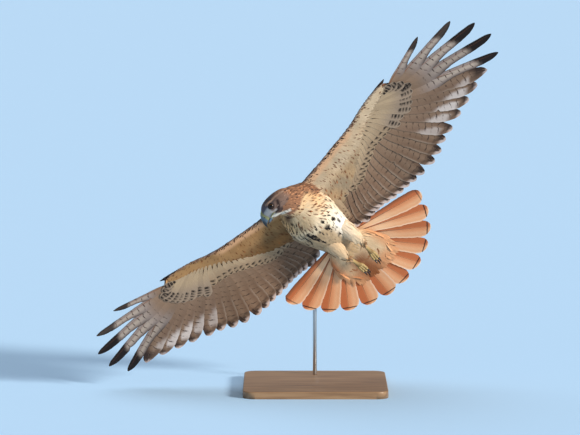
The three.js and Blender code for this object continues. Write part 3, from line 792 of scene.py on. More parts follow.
def keep(store, points, faces, tint, vane, bake, bars=None):
    if volumeOf(points, faces) < 0:
        faces = faces[:, ::-1]
    store["faces"].append(faces + store["count"])
    store["count"] += len(points)
    bars = np.zeros(len(points)) if bars is None else bars
    for key, value in zip(("points", "tint", "vane", "bars", "bake"), (points, tint, vane, bars, bake)):
        store[key].append(value)


def volumeOf(points, quads):
    a, b, c, d = (points[quads[:, k]] for k in range(4))
    return (np.einsum("ij,ij->i", a, np.cross(b, c)) + np.einsum("ij,ij->i", a, np.cross(c, d))).sum()


def ringFaces(rows, sides, mirrored=False):
    # quads between rings of points, and across the first and the last ring
    s, j = np.meshgrid(np.arange(rows - 1), np.arange(sides), indexing="ij")
    after = (j + 1) % sides
    walls = np.stack([s * sides + j, s * sides + after, (s + 1) * sides + after, (s + 1) * sides + j], -1)
    if mirrored:  # the second half of each ring is split into triangles as the first half is
        walls[:, sides // 2:] = np.roll(walls[:, sides // 2:], -1, -1)
    cap = np.array([(i, i + 1, sides - 2 - i, sides - 1 - i) for i in range(sides // 2 - 1)])
    return np.concatenate([walls.reshape(-1, 4), cap[:, ::-1], cap + (rows - 1) * sides])


def setTint(mesh, colours):
    tint = mesh.color_attributes.new(name="tint", type="FLOAT_COLOR", domain="POINT")
    tint.data.foreach_set("color", np.c_[np.clip(colours, 0, 1), np.ones(len(colours))].ravel())


def setMap(mesh, name, places):
    corners = np.empty(len(mesh.loops), int)
    mesh.loops.foreach_get("vertex_index", corners)
    uv = mesh.uv_layers.new(name=name)
    uv.data.foreach_set("uv", places[corners].ravel())


def finish(name, mesh, material, nodes):
    mesh.materials.append(material)
    piece = collect(name, mesh)
    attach(piece, "root")
    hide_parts(*nodes)


def makePiece(name, store, material, nodes):
    points, faces, tint, bars, vanes, bakes = (
        np.concatenate(store[key]) for key in ("points", "faces", "tint", "bars", "vane", "bake")
    )
    mesh = bpy.data.meshes.new(name)
    mesh.from_pydata(toWorld(points), [], faces)
    mesh.polygons.foreach_set("use_smooth", np.ones(len(faces), bool))
    mesh.set_sharp_from_angle(angle=math.radians(50))
    setTint(mesh, tint)
    barred = mesh.attributes.new(name="bars", type="FLOAT", domain="POINT")
    barred.data.foreach_set("value", bars)
    setMap(mesh, "Vane", vanes)
    setMap(mesh, "OFBake", bakes)
    finish(name, mesh, material, nodes)
    print(name, len(faces) * 2, "triangles")


# Small feathers: thin leaves of four points a station
leaf = {
    "at": np.array([0, 0.3, 0.6, 0.85, 1.0]),
    "width": np.array([0.4, 0.92, 1.0, 0.7, 0.12]),
    "thick": 0.2, "thinning": 0.7, "cup": 0.035, "sink": 0.4, "mostDrop": 0.6, "mapScale": 0.01, "patch": 0.003,
    "colourShift": 1.1, "underTail": 2.4,
}


def fallOfLeaves(f, along, surface):
    # how far the skin falls away under each station of each leaf
    t = leaf["at"]
    drop = np.zeros(along.shape[:2])
    for i, (normal, reach) in enumerate(zip(f["normal"], f["length"])):
        for s in range(1, len(t)):
            place, _, _, far = surface.find_nearest(Vector(along[i, s]))
            fall = float((np.array(place) - along[i, s]) @ normal)
            if far > abs(fall) + 0.4 * reach * t[s]:  # past an edge of the body the leaf runs straight on
                fall = drop[i, s - 1] * t[s] / max(t[s - 1], 0.1)
            most = leaf["mostDrop"] * reach * t[s]
            drop[i, s] = max(-most, min(most, fall))
    return drop


def tintOfLeaves(f, ring, side):
    t = leaf["at"]
    shape = ring.shape[:3]
    # each place takes the colour of the pattern there, shifted a little from feather to feather
    seen = ring + rng.normal(0, leaf["colourShift"], (shape[0], 1, 1, 3))
    tracts, up = (np.repeat(values, shape[1] * shape[2]) for values in (f["tract"], f["normal"][:, 2]))
    plain, edged = fieldColour(tracts, seen.reshape(-1, 3), up)
    tint, edged = plain.reshape(*shape, 3), edged.reshape(shape)
    rim = np.clip(step(t, 0.6, 1.0)[None, :, None] + np.array([0.35, 0, 0.35, 0]), 0, 1) * edged
    tint = blend(tint, coat["napeEdge"], 0.4 * rim)
    place, reach, wide, strength, core, end = (value[:, None, None] for value in marksFor(f, side))
    away = ring - place
    ahead = (away * f["lie"][:, None, None]).sum(-1) / reach
    across = (away * side[:, None, None]).sum(-1)
    mask = strength * (1 - step(ahead**2 + (across / (wide + 0.6)) ** 2, 0.7, 1.5))
    tint = blend(tint, blend(core, end, step(ahead, 0.25, 0.95)), mask)
    return tint * (f["shade"][:, None, None] * (0.9 + 0.1 * t)[None, :, None])[..., None]


def addLeaves(store, f, surface):
    # f: root, normal, lie, length, width, lift and bake place of every feather, as arrays
    t, w = leaf["at"], leaf["width"]
    count, stations = len(f["root"]), len(t)
    side = np.cross(f["normal"], f["lie"])
    normal = f["normal"][:, None]
    along = f["root"][:, None] + f["lie"][:, None] * (f["length"][:, None] * t)[..., None]
    rise = f["lift"][:, None] * np.sin(math.pi * t**0.8 * 0.72)
    middle = along + normal * (fallOfLeaves(f, along, surface) + rise - leaf["sink"])[..., None]
    half = (f["width"][:, None] / 2 * w)[..., None] * side[:, None]
    thick = normal * (leaf["thick"] * (1 - leaf["thinning"] * t))[None, :, None]
    cup = normal * (leaf["cup"] * f["width"][:, None] * w)[..., None]
    ring = np.stack([middle - half - cup, middle - thick, middle + half - cup, middle + thick], 2)
    # leaves of the pad stay under the tail's feathers
    above = ((ring - np.array(tail["root"], float)) @ tailTurn[:, 2]).max(2) + leaf["underTail"]
    above = np.maximum(0, above) * tractOn(f["tract"], "vent")[:, None]
    ring = ring - above[..., None, None] * tailTurn[:, 2]
    tint = tintOfLeaves(f, ring, side)
    q = np.array([-1, 0, 1, 0]) / 2
    scale, chance = leaf["mapScale"], f["chance"][:, None, None]
    vaneU = q[None, None] * (f["width"][:, None] * w)[..., None] * scale + chance * 7
    vaneV = (f["length"][:, None] * t)[..., None] * scale + chance * 3
    patch = np.broadcast_arrays(q[None, None] * leaf["patch"], (t[None, :, None] - 0.5) * leaf["patch"])
    faces = ringFaces(stations, 4) + 4 * stations * np.arange(count)[:, None, None]
    keep(
        store, ring.reshape(-1, 3), faces.reshape(-1, 4), tint.reshape(-1, 3),
        np.stack(np.broadcast_arrays(vaneU, vaneV), -1).reshape(-1, 2),
        (f["bake"][:, None, None] + np.stack(patch, -1)).reshape(-1, 2),
    )


def scatter(field, mask, spacing):
    # roots spread evenly over the chosen triangles of the skin, a spacing apart
    triangles = field["triangles"]
    chosen = triangles[mask[triangles].all(1)]
    p = field["points"][chosen]
    area = np.linalg.norm(np.cross(p[:, 1] - p[:, 0], p[:, 2] - p[:, 0]), axis=1) / 2
    gap = spacing[chosen].mean(1)
    weight = area / gap**2
    draws = int(5.5 * weight.sum())
    pick = rng.choice(len(chosen), draws, p=weight / weight.sum())
    r = rng.random((draws, 2))
    flip = r.sum(1) > 1
    r[flip] = 1 - r[flip]
    bary = np.c_[1 - r.sum(1), r]
    corner = chosen[pick]
    roots = (field["points"][corner] * bary[..., None]).sum(1)
    tree = KDTree(draws)
    for i, root in enumerate(roots):
        tree.insert(root, i)
    tree.balance()
    gone = np.zeros(draws, bool)
    kept = []
    for i in range(draws):
        if gone[i]:
            continue
        kept.append(i)
        for _, j, _ in tree.find_range(roots[i], gap[pick[i]]):
            gone[j] = True
    kept = np.array(kept)
    corner, bary = corner[kept], bary[kept]
    mix = lambda key: (field[key][corner] * bary[..., None]).sum(1)
    normal = unit(mix("normals"))
    size = (field["size"][corner] * bary).sum(1)
    lie = flatten(mix("lie"), normal)
    tract = field["tract"][corner[:, 0]]
    return {"root": roots[kept], "normal": normal, "lie": lie, "tract": tract, "length": size}


# each piece of the coat stays under 200,000 triangles
coatPieces = {"leafTriangles": 36, "most": 190000}


def dress(field, surface, mask, material, name, slot, node, look):
    f = scatter(field, mask, field["size"] * look["spacing"])
    count = len(f["root"])
    vary = lambda spread, low, high: rng.normal(1, spread, count).clip(low, high)
    side = np.cross(f["normal"], f["lie"])
    clump = 0.12 * wobble(f["root"], 9, 31)
    f["lie"] = unit(f["lie"] + side * (clump + rng.normal(0, look["stray"], count))[:, None])
    f["chance"] = rng.random(count)
    f["length"] = f["length"] * vary(0.13, 0.7, 1.35)
    f["width"] = f["length"] * look["width"] * vary(0.12, 0.7, 1.3)
    f["lift"] = f["length"] * look["lift"] * vary(0.3, 0.2, 1.9)
    f["shade"] = vary(look.get("mottle", 0.06), 0.8, 1.2)
    f["bake"] = skinMap(f["tract"], f["root"], f["normal"])
    order = np.argsort(f["root"][:, 0])
    split = math.ceil(count * coatPieces["leafTriangles"] / coatPieces["most"])
    for number, some in enumerate(np.array_split(order, split)):
        store = newStore()
        addLeaves(store, {key: value[some] for key, value in f.items()}, surface)
        makePiece(name if split == 1 else f"{name}_{number + 1}", store, material, (node,))


# Materials
class Wiring:
    # a new material, and what is wired into it
    def __init__(self, name, roughness, more=()):
        self.material = bpy.data.materials.new(name)
        self.material.use_nodes = True
        self.nodes = self.material.node_tree.nodes
        self.shader = self.nodes["Principled BSDF"]
        self.plugAll(self.shader, {"Roughness": roughness, **dict(more)})

    def plugAll(self, node, values):
        # a socket takes another node's output, a number or a colour
        for key, value in values.items():
            socket = node.inputs[key]
            if isinstance(value, bpy.types.NodeSocket):
                self.material.node_tree.links.new(value, socket)
            else:
                socket.default_value = (*value, 1)[:len(socket.default_value)] if np.ndim(value) else value

    def add(self, kind, values, **settings):
        node = self.nodes.new("ShaderNode" + kind)
        for key, value in settings.items():
            setattr(node, key, value)
        self.plugAll(node, values)
        return node.outputs

    def math(self, operation, *inputs):
        return self.add("Math", dict(enumerate(inputs)), operation=operation)[0]

    def noise(self, vector, scale, more=(), dimensions="2D"):
        values = {"Scale": scale, "Vector": vector, **dict(more)}
        return self.add("TexNoise", values, noise_dimensions=dimensions)[0]

    def ramp(self, value, *stops):
        output = self.add("ValToRGB", {0: value})[0]
        elements = output.node.color_ramp.elements
        while len(elements) < len(stops):
            elements.new(0.5)
        for element, (at, colour) in zip(elements, stops):
            element.position = at
            element.color = (*colour, 1) if np.ndim(colour) else (colour, colour, colour, 1)
        return output

    def mix(self, factor, a, b, kind="MIX"):
        return self.add("Mix", {0: factor, 6: a, 7: b}, data_type="RGBA", blend_type=kind)[2]

    def tint(self):
        return self.add("VertexColor", {}, layer_name="tint")[0]

    def vaneMap(self):
        # the feather's own map, whole, across and along
        uv = self.add("UVMap", {}, uv_map="Vane")[0]
        apart = self.add("SeparateXYZ", {0: uv})
        return uv, apart[0], apart[1]

    def barred(self, colour, line, barColour):
        strength = self.add("Attribute", {}, attribute_name="bars")["Fac"]
        return self.mix(self.math("MULTIPLY", line, strength), colour, barColour)

    def bump(self, height, strength, distance, invert=False):
        values = {"Strength": strength, "Distance": distance, "Height": height}
        self.plugAll(self.shader, {"Normal": self.add("Bump", values, invert=invert)[0]})


plume = {
    "sheen": {"Specular IOR Level": 0.18, "Sheen Weight": 0.04, "Sheen Roughness": 0.5},
    "slant": 1.3, "barbsAcross": 9.0, "barbsAlong": 120.0, "rough": 7.0, "broken": 11.0, "crooked": 5.0,
    "crookedBy": 0.03, "bump": 0.25, "bumpDeep": 0.0006,
}


def plumage(name, bars=None, band=None, grain=0.16, roughness=0.78):
    # vane colour from the feather's own tint, fine barbs, and crossbars measured back from the tip
    wire = Wiring(name, roughness, plume["sheen"])
    colour = wire.tint()
    uv, across, along = wire.vaneMap()
    away = wire.math("ABSOLUTE", across)
    # barbs leave the shaft at a slant
    slant = wire.math("ADD", along, wire.math("MULTIPLY", away, plume["slant"]))
    spread = wire.add("CombineXYZ", {
        0: wire.math("MULTIPLY", across, plume["barbsAcross"]),
        1: wire.math("MULTIPLY", slant, plume["barbsAlong"]),
    })
    barbs = wire.noise(spread[0], 1.0, {"Detail": 3.0})
    if bars:
        bent = wire.math("ADD", along, wire.math("MULTIPLY", away, bars["bend"]))
        rough = wire.noise(uv, plume["rough"])
        shaken = wire.math("ADD", bent, wire.math("MULTIPLY", rough, bars["shake"]))
        gaps = wire.ramp(wire.noise(uv, plume["broken"]), (0.4, 0.1), (0.5, 1.0))
        cycle = wire.math("FRACT", wire.math("MULTIPLY", shaken, 1 / bars["spacing"]))
        wide, half = bars["width"], bars["width"] / 2
        line = wire.ramp(cycle, (0.5 - wide, 0.0), (0.5 - half, 1.0), (0.5 + half, 1.0), (0.5 + wide, 0.0))
        colour = wire.barred(colour, wire.math("MULTIPLY", line, gaps), bars["colour"])
    if band:
        crooked = wire.math("MULTIPLY", wire.noise(uv, plume["crooked"]), plume["crookedBy"])
        at = wire.math("ADD", along, crooked)
        apart = wire.math("ABSOLUTE", wire.math("SUBTRACT", at, band["at"]))
        line = wire.ramp(wire.math("DIVIDE", apart, band["half"] * 2), (0.35, 1.0), (0.62, 0.0))
        colour = wire.barred(colour, line, band["colour"])
    shade = wire.ramp(barbs, (0.25, 1 - grain), (0.75, 1 + grain))
    wire.plugAll(wire.shader, {"Base Color": wire.mix(1.0, colour, shade, "MULTIPLY")})
    wire.bump(barbs, plume["bump"], plume["bumpDeep"])
    return wire.material


# Flight feathers and greater coverts: how far along, width of the outer web, width of the inner web
forms = {
    "round": [(0, 2, 2), (0.14, 3, 6), (0.3, 9, 20), (0.62, 11, 27), (0.84, 11, 24), (0.94, 10, 19), (1, 9, 15)],
    "finger": [(0, 2, 2), (0.14, 3, 7), (0.3, 8, 24), (0.5, 8, 27), (0.62, 8, 19), (0.86, 7.5, 15.5), (1, 5.5, 10)],
    "tail": [(0, 3, 3), (0.2, 8, 10), (0.5, 15, 21), (0.8, 20, 28), (0.9, 20.5, 29), (1, 19, 27)],
    "covert": [(0, 2, 2), (0.4, 6, 9), (0.8, 9, 15), (1, 8, 13)],
    "alula": [(0, 2, 2), (0.4, 5, 9), (0.85, 4, 8), (1, 2, 4)],
}
# how far from the tip each web begins to close, outer and inner, and how square it ends
tipRound = {
    "round": (14, 24, 2.0), "long": (10, 34, 1.9), "finger": (18, 26, 1.7), "pointed": (16, 44, 1.6),
    "tail": (20, 24, 1.9), "covert": (11, 13, 2.0), "alula": (12, 16, 2.0),
}
flight = {
    "primaryAngle": [50, 42, 36, 30, 25, 20, 11, 2, -8, -20],
    "primaryLength": [236, 245, 257, 273, 296, 325, 324, 302, 259, 178],
    "secondaryAngle": [55, 61, 67, 75, 80, 84, 88, 92, 96, 100, 103, 107],
    "secondaryLength": [230, 229, 224, 216, 208, 200, 195, 187, 178, 170, 165, 162],
    "tertialAngle": [108, 109, 110, 112],
    "tertialLength": [164, 162, 156, 146],
    "onPalm": 5, "fingers": 5,
    # how far each root lies outside the straight row of roots, and how far its shaft bows forward
    "primaryOut": [15, 12, 9, 7, 4, 0, 0, 0, 0, 0],
    "primaryBow": [13, 13, 13, 13, 14, 5, 3, 2, 0, 0],
    "secondaryOut": [17, 16, 15, 14, 13, 10, 7, 3, 0, 0, 0, 0],
    "secondaryBow": [15, 15, 14, 13, 12, 9, 7, 5, 4, 3, 3, 3],
    "tertialOut": [0, 0, 0, 0], "tertialBow": [3, 3, 3, 3],
    "handCovert": [95, 92, 103, 100, 97, 98, 92, 77, 56, 36],
    "armCovert": [76, 68, 62, 56, 55, 55, 56, 60, 61, 62, 62, 60], "tertialCovert": 60, "armpit": 10,
    "under": -2.4, "upper": 3.4,
    "alulaRoot": (232, -82), "alulaTip": (332, -108),
}


def between(p, q, t):
    return (p[0] + (q[0] - p[0]) * t, p[1] + (q[1] - p[1]) * t)


def rayFrom(root, angle, length, kind, i):
    # the tip stays where the straight ray puts it, while the root moves outward
    tip = root[0] + length * math.cos(math.radians(angle)), root[1] + length * math.sin(math.radians(angle))
    out = flight[kind + "Out"][i]
    root = root[0] + out, root[1] - 0.1 * out
    return {
        "root": root, "angle": math.atan2(tip[1] - root[1], tip[0] - root[0]), "length": math.dist(root, tip),
        "kind": kind, "number": i + 1, "bow": flight[kind + "Bow"][i],
    }


def wingRays(which):
    # from the outermost primary in to the last tertial
    fan = wing[which]["fan"]
    onPalm = flight["onPalm"]
    rays = []
    for i, (angle, length) in enumerate(zip(flight["primaryAngle"], flight["primaryLength"])):
        if i <= onPalm:
            root = between(wing["wrist"], wing["palm"], 0.12 + 0.88 * i / onPalm)
        else:
            root = between(wing["palm"], wing["fingerEnd"], (i - onPalm) / (9 - onPalm))
        rays.append(rayFrom(root, angle * fan, length, "primary", i))
    rays.reverse()
    rows = (("secondary", wing["wrist"], wing["elbow"]), ("tertial", wing["elbow"], (0, 0)))
    for kind, start, end in rows:
        angles = flight[kind + "Angle"]
        for i, angle in enumerate(angles):
            root = between(start, end, (i + 0.4) / (len(angles) + 0.4))
            rays.append(rayFrom(root, angle * fan, flight[kind + "Length"][i], kind, i))
    return withPitch(rays)


def withPitch(rays):
    # the distance from each ray to its neighbours, along its length
    def gap(a, b, r):
        x, y = a["root"][0] + np.cos(a["angle"]) * r, a["root"][1] + np.sin(a["angle"]) * r
        return np.abs((x - b["root"][0]) * np.sin(b["angle"]) - (y - b["root"][1]) * np.cos(b["angle"]))

    def pitchOf(ray, others):
        return lambda r: np.maximum(6, sum(gap(ray, other, r) for other in others) / len(others))
    for i, ray in enumerate(rays):
        ray["pitch"] = pitchOf(ray, [rays[k] for k in (i - 1, i + 1) if 0 <= k < len(rays)])
    return rays


# how a web closes in at its tip, in degrees, and how a feather thins and splits
web = {
    "turns": [0, 22, 42, 58, 71, 81, 88], "tipStations": 8, "first": 0.04, "ragged": 0.018, "splitTo": (0.75, 0.9),
    "steepest": 0.25, "thinning": 0.55, "edgeThinning": 0.5, "mapScale": 0.01,
}


def websOf(ray, form, look):
    # stations along a feather, 0 to 1, and the width of its outer and inner web at each
    outerDepth, innerDepth, power = tipRound[ray.get("tip", form)]
    depth = max(outerDepth, innerDepth) / ray["length"]
    even = np.linspace(web["first"], 1 - depth, look["stations"] - web["tipStations"])[:-1]
    t = np.r_[0, even, 1 - depth * (1 - np.sin(np.radians(web["turns"])))]
    at, outer, inner = np.array(forms[form]).T
    grow = look.get("grow", 1.0) * ray.get("wide", 1.0)
    fromTip = (1 - t) * ray["length"]
    outer, inner = (
        through(at, wide, t) * (1 - np.clip(1 - fromTip / close, 0, 1) ** power) ** (1 / power) * grow
        for wide, close in ((outer, outerDepth), (inner, innerDepth))
    )
    ragged = rng.normal(0, web["ragged"], (2, len(t))) * step(t, 0.2, 0.6)
    outer, inner = outer * (1 + ragged[0]), inner * (1 + ragged[1])
    if rng.random() < look["split"]:  # a place where the barbs have parted
        s = rng.integers(len(t) // 3, len(t) - 9)
        inner[s] *= rng.uniform(*web["splitTo"])
    return t, outer, inner


def vane(store, ray, form, place, colours, look, left):
    # one big feather: two webs on a shaft, closed and thin; left is where its strip of the bake map begins
    t, outer, inner = websOf(ray, form, look)
    r = t * ray["length"]
    q = np.array(look["across"])
    w = np.where(q > 0, q * outer[:, None], q * inner[:, None])
    pitch = ray["pitch"](r) if ray.get("pitch") else np.full(len(r), 1e9)
    tilt = np.arcsin(np.minimum(web["steepest"], look["layer"] / pitch))[:, None]
    hand = ray.get("hand", 1)
    ax, ay = math.cos(ray["angle"]), math.sin(ray["angle"])
    bow = 4 * ray.get("bow", 0) * look.get("bow", 1) * t * (1 - t)
    lineO = ray["root"][0] + ax * r + hand * ay * bow
    lineB = ray["root"][1] + ay * r - hand * ax * bow
    way = unit(np.stack([np.gradient(lineO, r), np.gradient(lineB, r)], -1))
    ox, oy = hand * way[:, 1:], -hand * way[:, :1]
    o = lineO[:, None] + ox * w * np.cos(tilt)
    b = lineB[:, None] + oy * w * np.cos(tilt)
    camber = look["camber"] * (1 - q**2) * np.sin(math.pi * np.clip(t, 0.02, 0.98))[:, None]
    level = ray.get("level", 0) + w * np.sin(tilt) + camber
    half = look["thick"] / 2 * (1 - web["thinning"] * t)[:, None] * (1 - web["edgeThinning"] * np.abs(q))
    # each row is a ring: out along the top and back along the bottom
    ringOf = lambda top, bottom: np.concatenate([top, bottom[:, ::-1]], 1)
    points = ringOf(place(o, b, level + half), place(o, b, level - half))
    fullT, fullQ, fromTip = np.broadcast_arrays(t[:, None], q, (1 - t)[:, None] * ray["length"])
    under, over, bars = colours(fullT, fullQ, fromTip, ray)
    tint = ringOf(*(np.broadcast_to(side * ray["shade"], (*w.shape, 3)) for side in (over, under)))
    bars = np.broadcast_to(bars, w.shape)
    uv = np.stack([w, fromTip], -1) * web["mapScale"] + (0, look.get("slip", 0) * rng.random())
    strip = look["strip"] / 2
    bakeU = left + (0.5 + 0.46 * fullQ) * strip
    bakeV = 0.01 + 0.98 * fullT
    keep(
        store, points.reshape(-1, 3), ringFaces(len(t), 2 * len(q), True), tint.reshape(-1, 3),
        ringOf(uv, uv).reshape(-1, 2),
        ringOf(np.stack([bakeU, bakeV], -1), np.stack([bakeU + strip, bakeV], -1)).reshape(-1, 2),
        ringOf(bars, bars).ravel(),
    )
    middle = camber[:-1, [int(np.argmin(np.abs(q)))]] + ray.get("level", 0)
    line, out = (lineO[:-1], lineB[:-1]), (ox[:-1], oy[:-1])
    addShaft(store, ray, place, look, t[:-1], line, out, middle, left + strip / 2)


def addShaft(store, ray, place, look, t, line, out, middle, left):
    # a tapered rib that shows on both faces
    sides = 6
    angle = np.arange(sides) * 2 * math.pi / sides
    thick = look["shaft"] * (1 - 0.82 * t)[:, None]
    wide, high = thick * np.cos(angle), thick * 0.8 * np.sin(angle)
    rib = place(line[0][:, None] + out[0] * wide, line[1][:, None] + out[1] * wide, middle + high)
    tint = np.broadcast_to(ray["shaftColour"], (len(t), sides, 3)) * (1 - 0.3 * t)[:, None, None]
    tint = np.where((np.sin(angle) > 0.1)[None, :, None], quill["overDark"], tint)
    plain = np.full((len(t) * sides, 2), (0.5, 3.0))
    bake = np.stack([np.full(len(plain), left), np.repeat(0.01 + 0.98 * t, sides)], -1)
    keep(store, rib.reshape(-1, 3), ringFaces(len(t), sides), tint.reshape(-1, 3), plain, bake)


quill = {
    "primary": ink(114, 88, 71), "secondary": ink(112, 85, 66), "underPale": ink(148, 121, 98),
    "margin": ink(188, 168, 148), "window": ink(216, 202, 194), "dark": ink(44, 31, 26), "tip": ink(200, 178, 168),
    "tipGrey": ink(176, 158, 152), "black": ink(26, 18, 16), "finger": ink(140, 124, 116), "over": ink(84, 66, 54),
    "overDark": ink(42, 31, 26), "overTip": ink(150, 128, 108), "shaft": ink(150, 124, 98),
    "shaftBrown": ink(150, 90, 58), "bar": ink(58, 42, 34), "band": ink(46, 34, 32),
    "tail": ink(222, 150, 104), "tailShaded": ink(184, 98, 56), "tailPale": ink(236, 190, 148),
    "tailTip": ink(242, 216, 190), "tailOver": ink(176, 88, 52), "tailOverTip": ink(226, 190, 158),
    "tailCream": ink(246, 214, 182), "tailDark": ink(92, 58, 42),
    "covert": ink(150, 128, 108), "covertBuff": ink(158, 132, 105), "covertPale": ink(172, 146, 116),
}
# by the primary's number: where the finger turns black and how fully, and how clear the pale window is
fingerBlack = {10: 0.74, 9: 0.76, 8: 0.73, 7: 0.75, 6: 0.79}
fingerFull = {10: 0.93, 9: 0.9}
windowStrength = {5: 0.45, 4: 0.72, 3: 0.72, 2: 0.58, 1: 0.42}


def isFinger(ray):
    return ray["kind"] == "primary" and ray["number"] > 10 - flight["fingers"]


def bell(q, place, width):
    return np.exp(-(((q - place) / width) ** 2))


# These all take the same values and give a feather's under and upper colour, and how strong its bars are.
# t runs 0 to 1 from root to tip, q from the inner to the outer edge, -1 to 1.
def remexColours(t, q, fromTip, ray):
    under = painted(
        quill, quill[ray["kind"] if ray["kind"] == "primary" else "secondary"],
        ("underPale", 0.5 * (1 - step(t, 0.25, 0.7))),
        ("underPale", 0.4 * bell(q, -0.3, 0.3)),
    )
    shown, over, bars = (fingerColours if isFinger(ray) else innerColours)(under, t, q, fromTip, ray)
    return shown, over, bars * (1 - step(np.abs(q), 0.62, 0.85))


def fingerColours(under, t, q, fromTip, ray):
    start = fingerBlack[ray["number"]]
    black = step(t + 0.03 * q, start, start + 0.05) * fingerFull.get(ray["number"], 1)
    edge = np.maximum(step(-q, 0.7, 0.95), 0.6 * step(q, 0.6, 0.95)) * step(t, 0.42, 0.55)
    under = painted(
        quill, under,
        ("finger", step(t, 0.3, 0.5)),
        ("margin", 0.6 * bell(q, -0.35, 0.3) * step(t, 0.35, 0.6)),
        ("dark", 0.9 * edge),
        ("black", black),
    )
    over = painted(quill, quill["over"], ("black", step(t, 0.4, 0.6)))
    return under, over, 0.9 * (1 - black) * step(t, 0.3, 0.45)


def innerColours(under, t, q, fromTip, ray):
    # a pale tip, a dark band behind it, and on the hand a pale window
    primary, number = ray["kind"] == "primary", ray["number"]
    uneven = 2.5 * np.sin(6 * q + 9 * ray["shade"])
    first = (4 if primary else 5) + (5 if primary else 8) * step(-q, -0.1, 0.6)
    last = (46 if number == 5 else 24) if primary else 30
    dark = step(fromTip + uneven, first, first + 3) * (1 - step(fromTip + uneven, last - 9, last))
    dark = dark * (0.45 + 0.55 * step(q, -0.9, 0))
    under = painted(quill, under, ("margin", 0.35 * step(-q, 0.84, 0.97) * step(t, 0.5, 0.7)))
    if primary:
        window = step(-q - 0.5 * step(fromTip, 34, 84), 0.1, 0.28)
        window = window * step(fromTip + 0.5 * uneven, last - 2, last + 3) * (1 - step(fromTip, 66, 92))
        under = painted(
            quill, under,
            ("window", windowStrength[number] * window),
            ("dark", 0.75 * step(q, 0.35, 0.8) * step(fromTip, 6, 20) * (1 - step(fromTip, 70, 120))),
        )
    tip = "tip" if number < 4 or not primary else "tipGrey"
    under = painted(quill, under, ("dark", 0.95 * dark), (tip, step(first + 2 - fromTip, 0, 3) * 0.9))
    over = painted(quill, quill["over"], ("overDark", dark), ("overTip", step(9 - fromTip, 0, 4)))
    return under, over, 0.85 * step(t, 0.28, 0.45) * (1 - dark) * step(fromTip, 14, 24)


def covertColours(t, q, fromTip, ray):
    ground = "covert" if ray["kind"] == "primary" else "covertBuff"
    bar = np.zeros(q.shape)
    for place, half, wide, strength in ray["spots"]:
        bent = fromTip + 2 * np.abs(q) + 0.8 * np.sin(5 * q + 20 * ray["shade"])
        here = 1 - step(np.abs(bent - place), half * 0.7, half * 1.25)
        bar = np.maximum(bar, strength * here * (1 - step(np.abs(q), wide, wide + 0.3)))
    under = blend(painted(quill, quill["covertPale"], (ground, step(t, 0.3, 0.75))), coat["spot"], bar)
    return under, painted(quill, quill["over"], ("overTip", 0.3 * step(7 - fromTip, 0, 6))), 0


def rectrixColours(t, q, fromTip, ray):
    out = abs(ray["place"])  # 0 in the middle, 1 outermost
    under = painted(
        quill, quill["tailPale"],
        ("tail", step(t, 0.35, 0.7)),
        # painted light: a paler wedge on the inner web, as if light shone through it
        ("tailPale", 0.5 * bell(q, -0.62, 0.22)),
        # painted shade: deeper orange on the outer web and beside the shaft, where the neighbouring feathers overlap
        ("tailShaded", 0.9 * step(q, 0.0, 0.14)),
        ("tailShaded", 0.35 * step(0.3 + q, 0, 0.3) * (1 - step(q, -0.02, 0.02))),
        ("tailCream", 0.8 * step(-q, 0.84, 0.97)),
        ("tailDark", 0.85 * step(q, 0.5, 0.9) * (out > 0.9)),
        ("tailTip", step(4 - fromTip, 0, 3)),
    )
    over = painted(quill, quill["tailOver"], ("tailOverTip", step(6 - fromTip, 0, 4)))
    return under, over, 0.95 if out < 0.9 else 0.6


def tailCovertColours(t, q, fromTip, ray):
    under = painted(coat, coat["vent"], ("cream", 0.6 * step(t, 0.4, 1)))
    return under, painted(coat, coat["rumpTop"], ("vent", 0.4 * step(np.abs(q), 0.4, 1))), 0


def alulaColours(t, q, fromTip, ray):
    return quill["dark"], quill["overDark"], 0


bigLook = {
    "stations": 44, "across": [-1, -0.8, -0.55, -0.3, -0.1, 0, 0.12, 0.4, 0.7, 1], "camber": 0.9, "thick": 0.7,
    "shaft": 1.1, "split": 0.25, "strip": 0.019, "slip": 0.6, "layer": 0.85,
}
tailLook = {**bigLook, "slip": 0, "strip": 0.04, "shaft": 1.3}
covertLook = {
    "stations": 34, "across": [-1, -0.76, -0.5, -0.25, 0, 0.25, 0.5, 0.76, 1], "camber": 0.35, "thick": 0.5,
    "shaft": 0.35, "split": 0.2, "strip": 0.01, "slip": 0.4, "layer": 0.3, "bow": 0.3,
}
# dark spots of a covert: how far from its tip, half height, half width and strength
spotRows = {
    "outerHand": [(5, 3.4, 0.55, 1.0), (13, 3.4, 0.55, 1.0), (21, 3.4, 0.55, 1.0), (29, 3.4, 0.55, 1.0)],
    "innerHand": [(5, 2.5, 0.35, 1.0), (13, 2.5, 0.35, 1.0), (21, 2.5, 0.35, 1.0), (29, 2.5, 0.35, 1.0)],
    "arm": [(5, 2.6, 0.4, 1.0), (16, 2.5, 0.35, 0.95)],
    "armpit": [(6, 2.4, 0.4, 0.9), (17, 2.4, 0.4, 0.8), (28, 2, 0.35, 0.6)],
}
fingerWide = {10: 0.62, 9: 0.85}
# the bake map's strips, from the first feather's to the next
bakeStrips = {
    "first": 0.005, "quill": 0.038, "covert": 0.0153, "alula": 0.97, "tail": 0.08, "tailCovert": 0.03,
}


def bakeLeft(kind, i, first=bakeStrips["first"]):
    return first + i * bakeStrips[kind]


def quillsOf(rays, place):
    store = newStore()
    for i, ray in enumerate(rays):
        finger = isFinger(ray)
        ray["shade"] = rng.normal(1, 0.05)
        ray["shaftColour"] = quill["shaftBrown" if finger else "shaft"]
        ray["wide"] = fingerWide.get(ray["number"], 1.0) if finger else 1.1
        if ray["kind"] == "primary" and not finger:
            ray["tip"], ray["wide"] = "pointed" if ray["number"] == 5 else "long", 1.2
        vane(store, ray, "finger" if finger else "round", place, remexColours, bigLook, bakeLeft("quill", i))
    return store


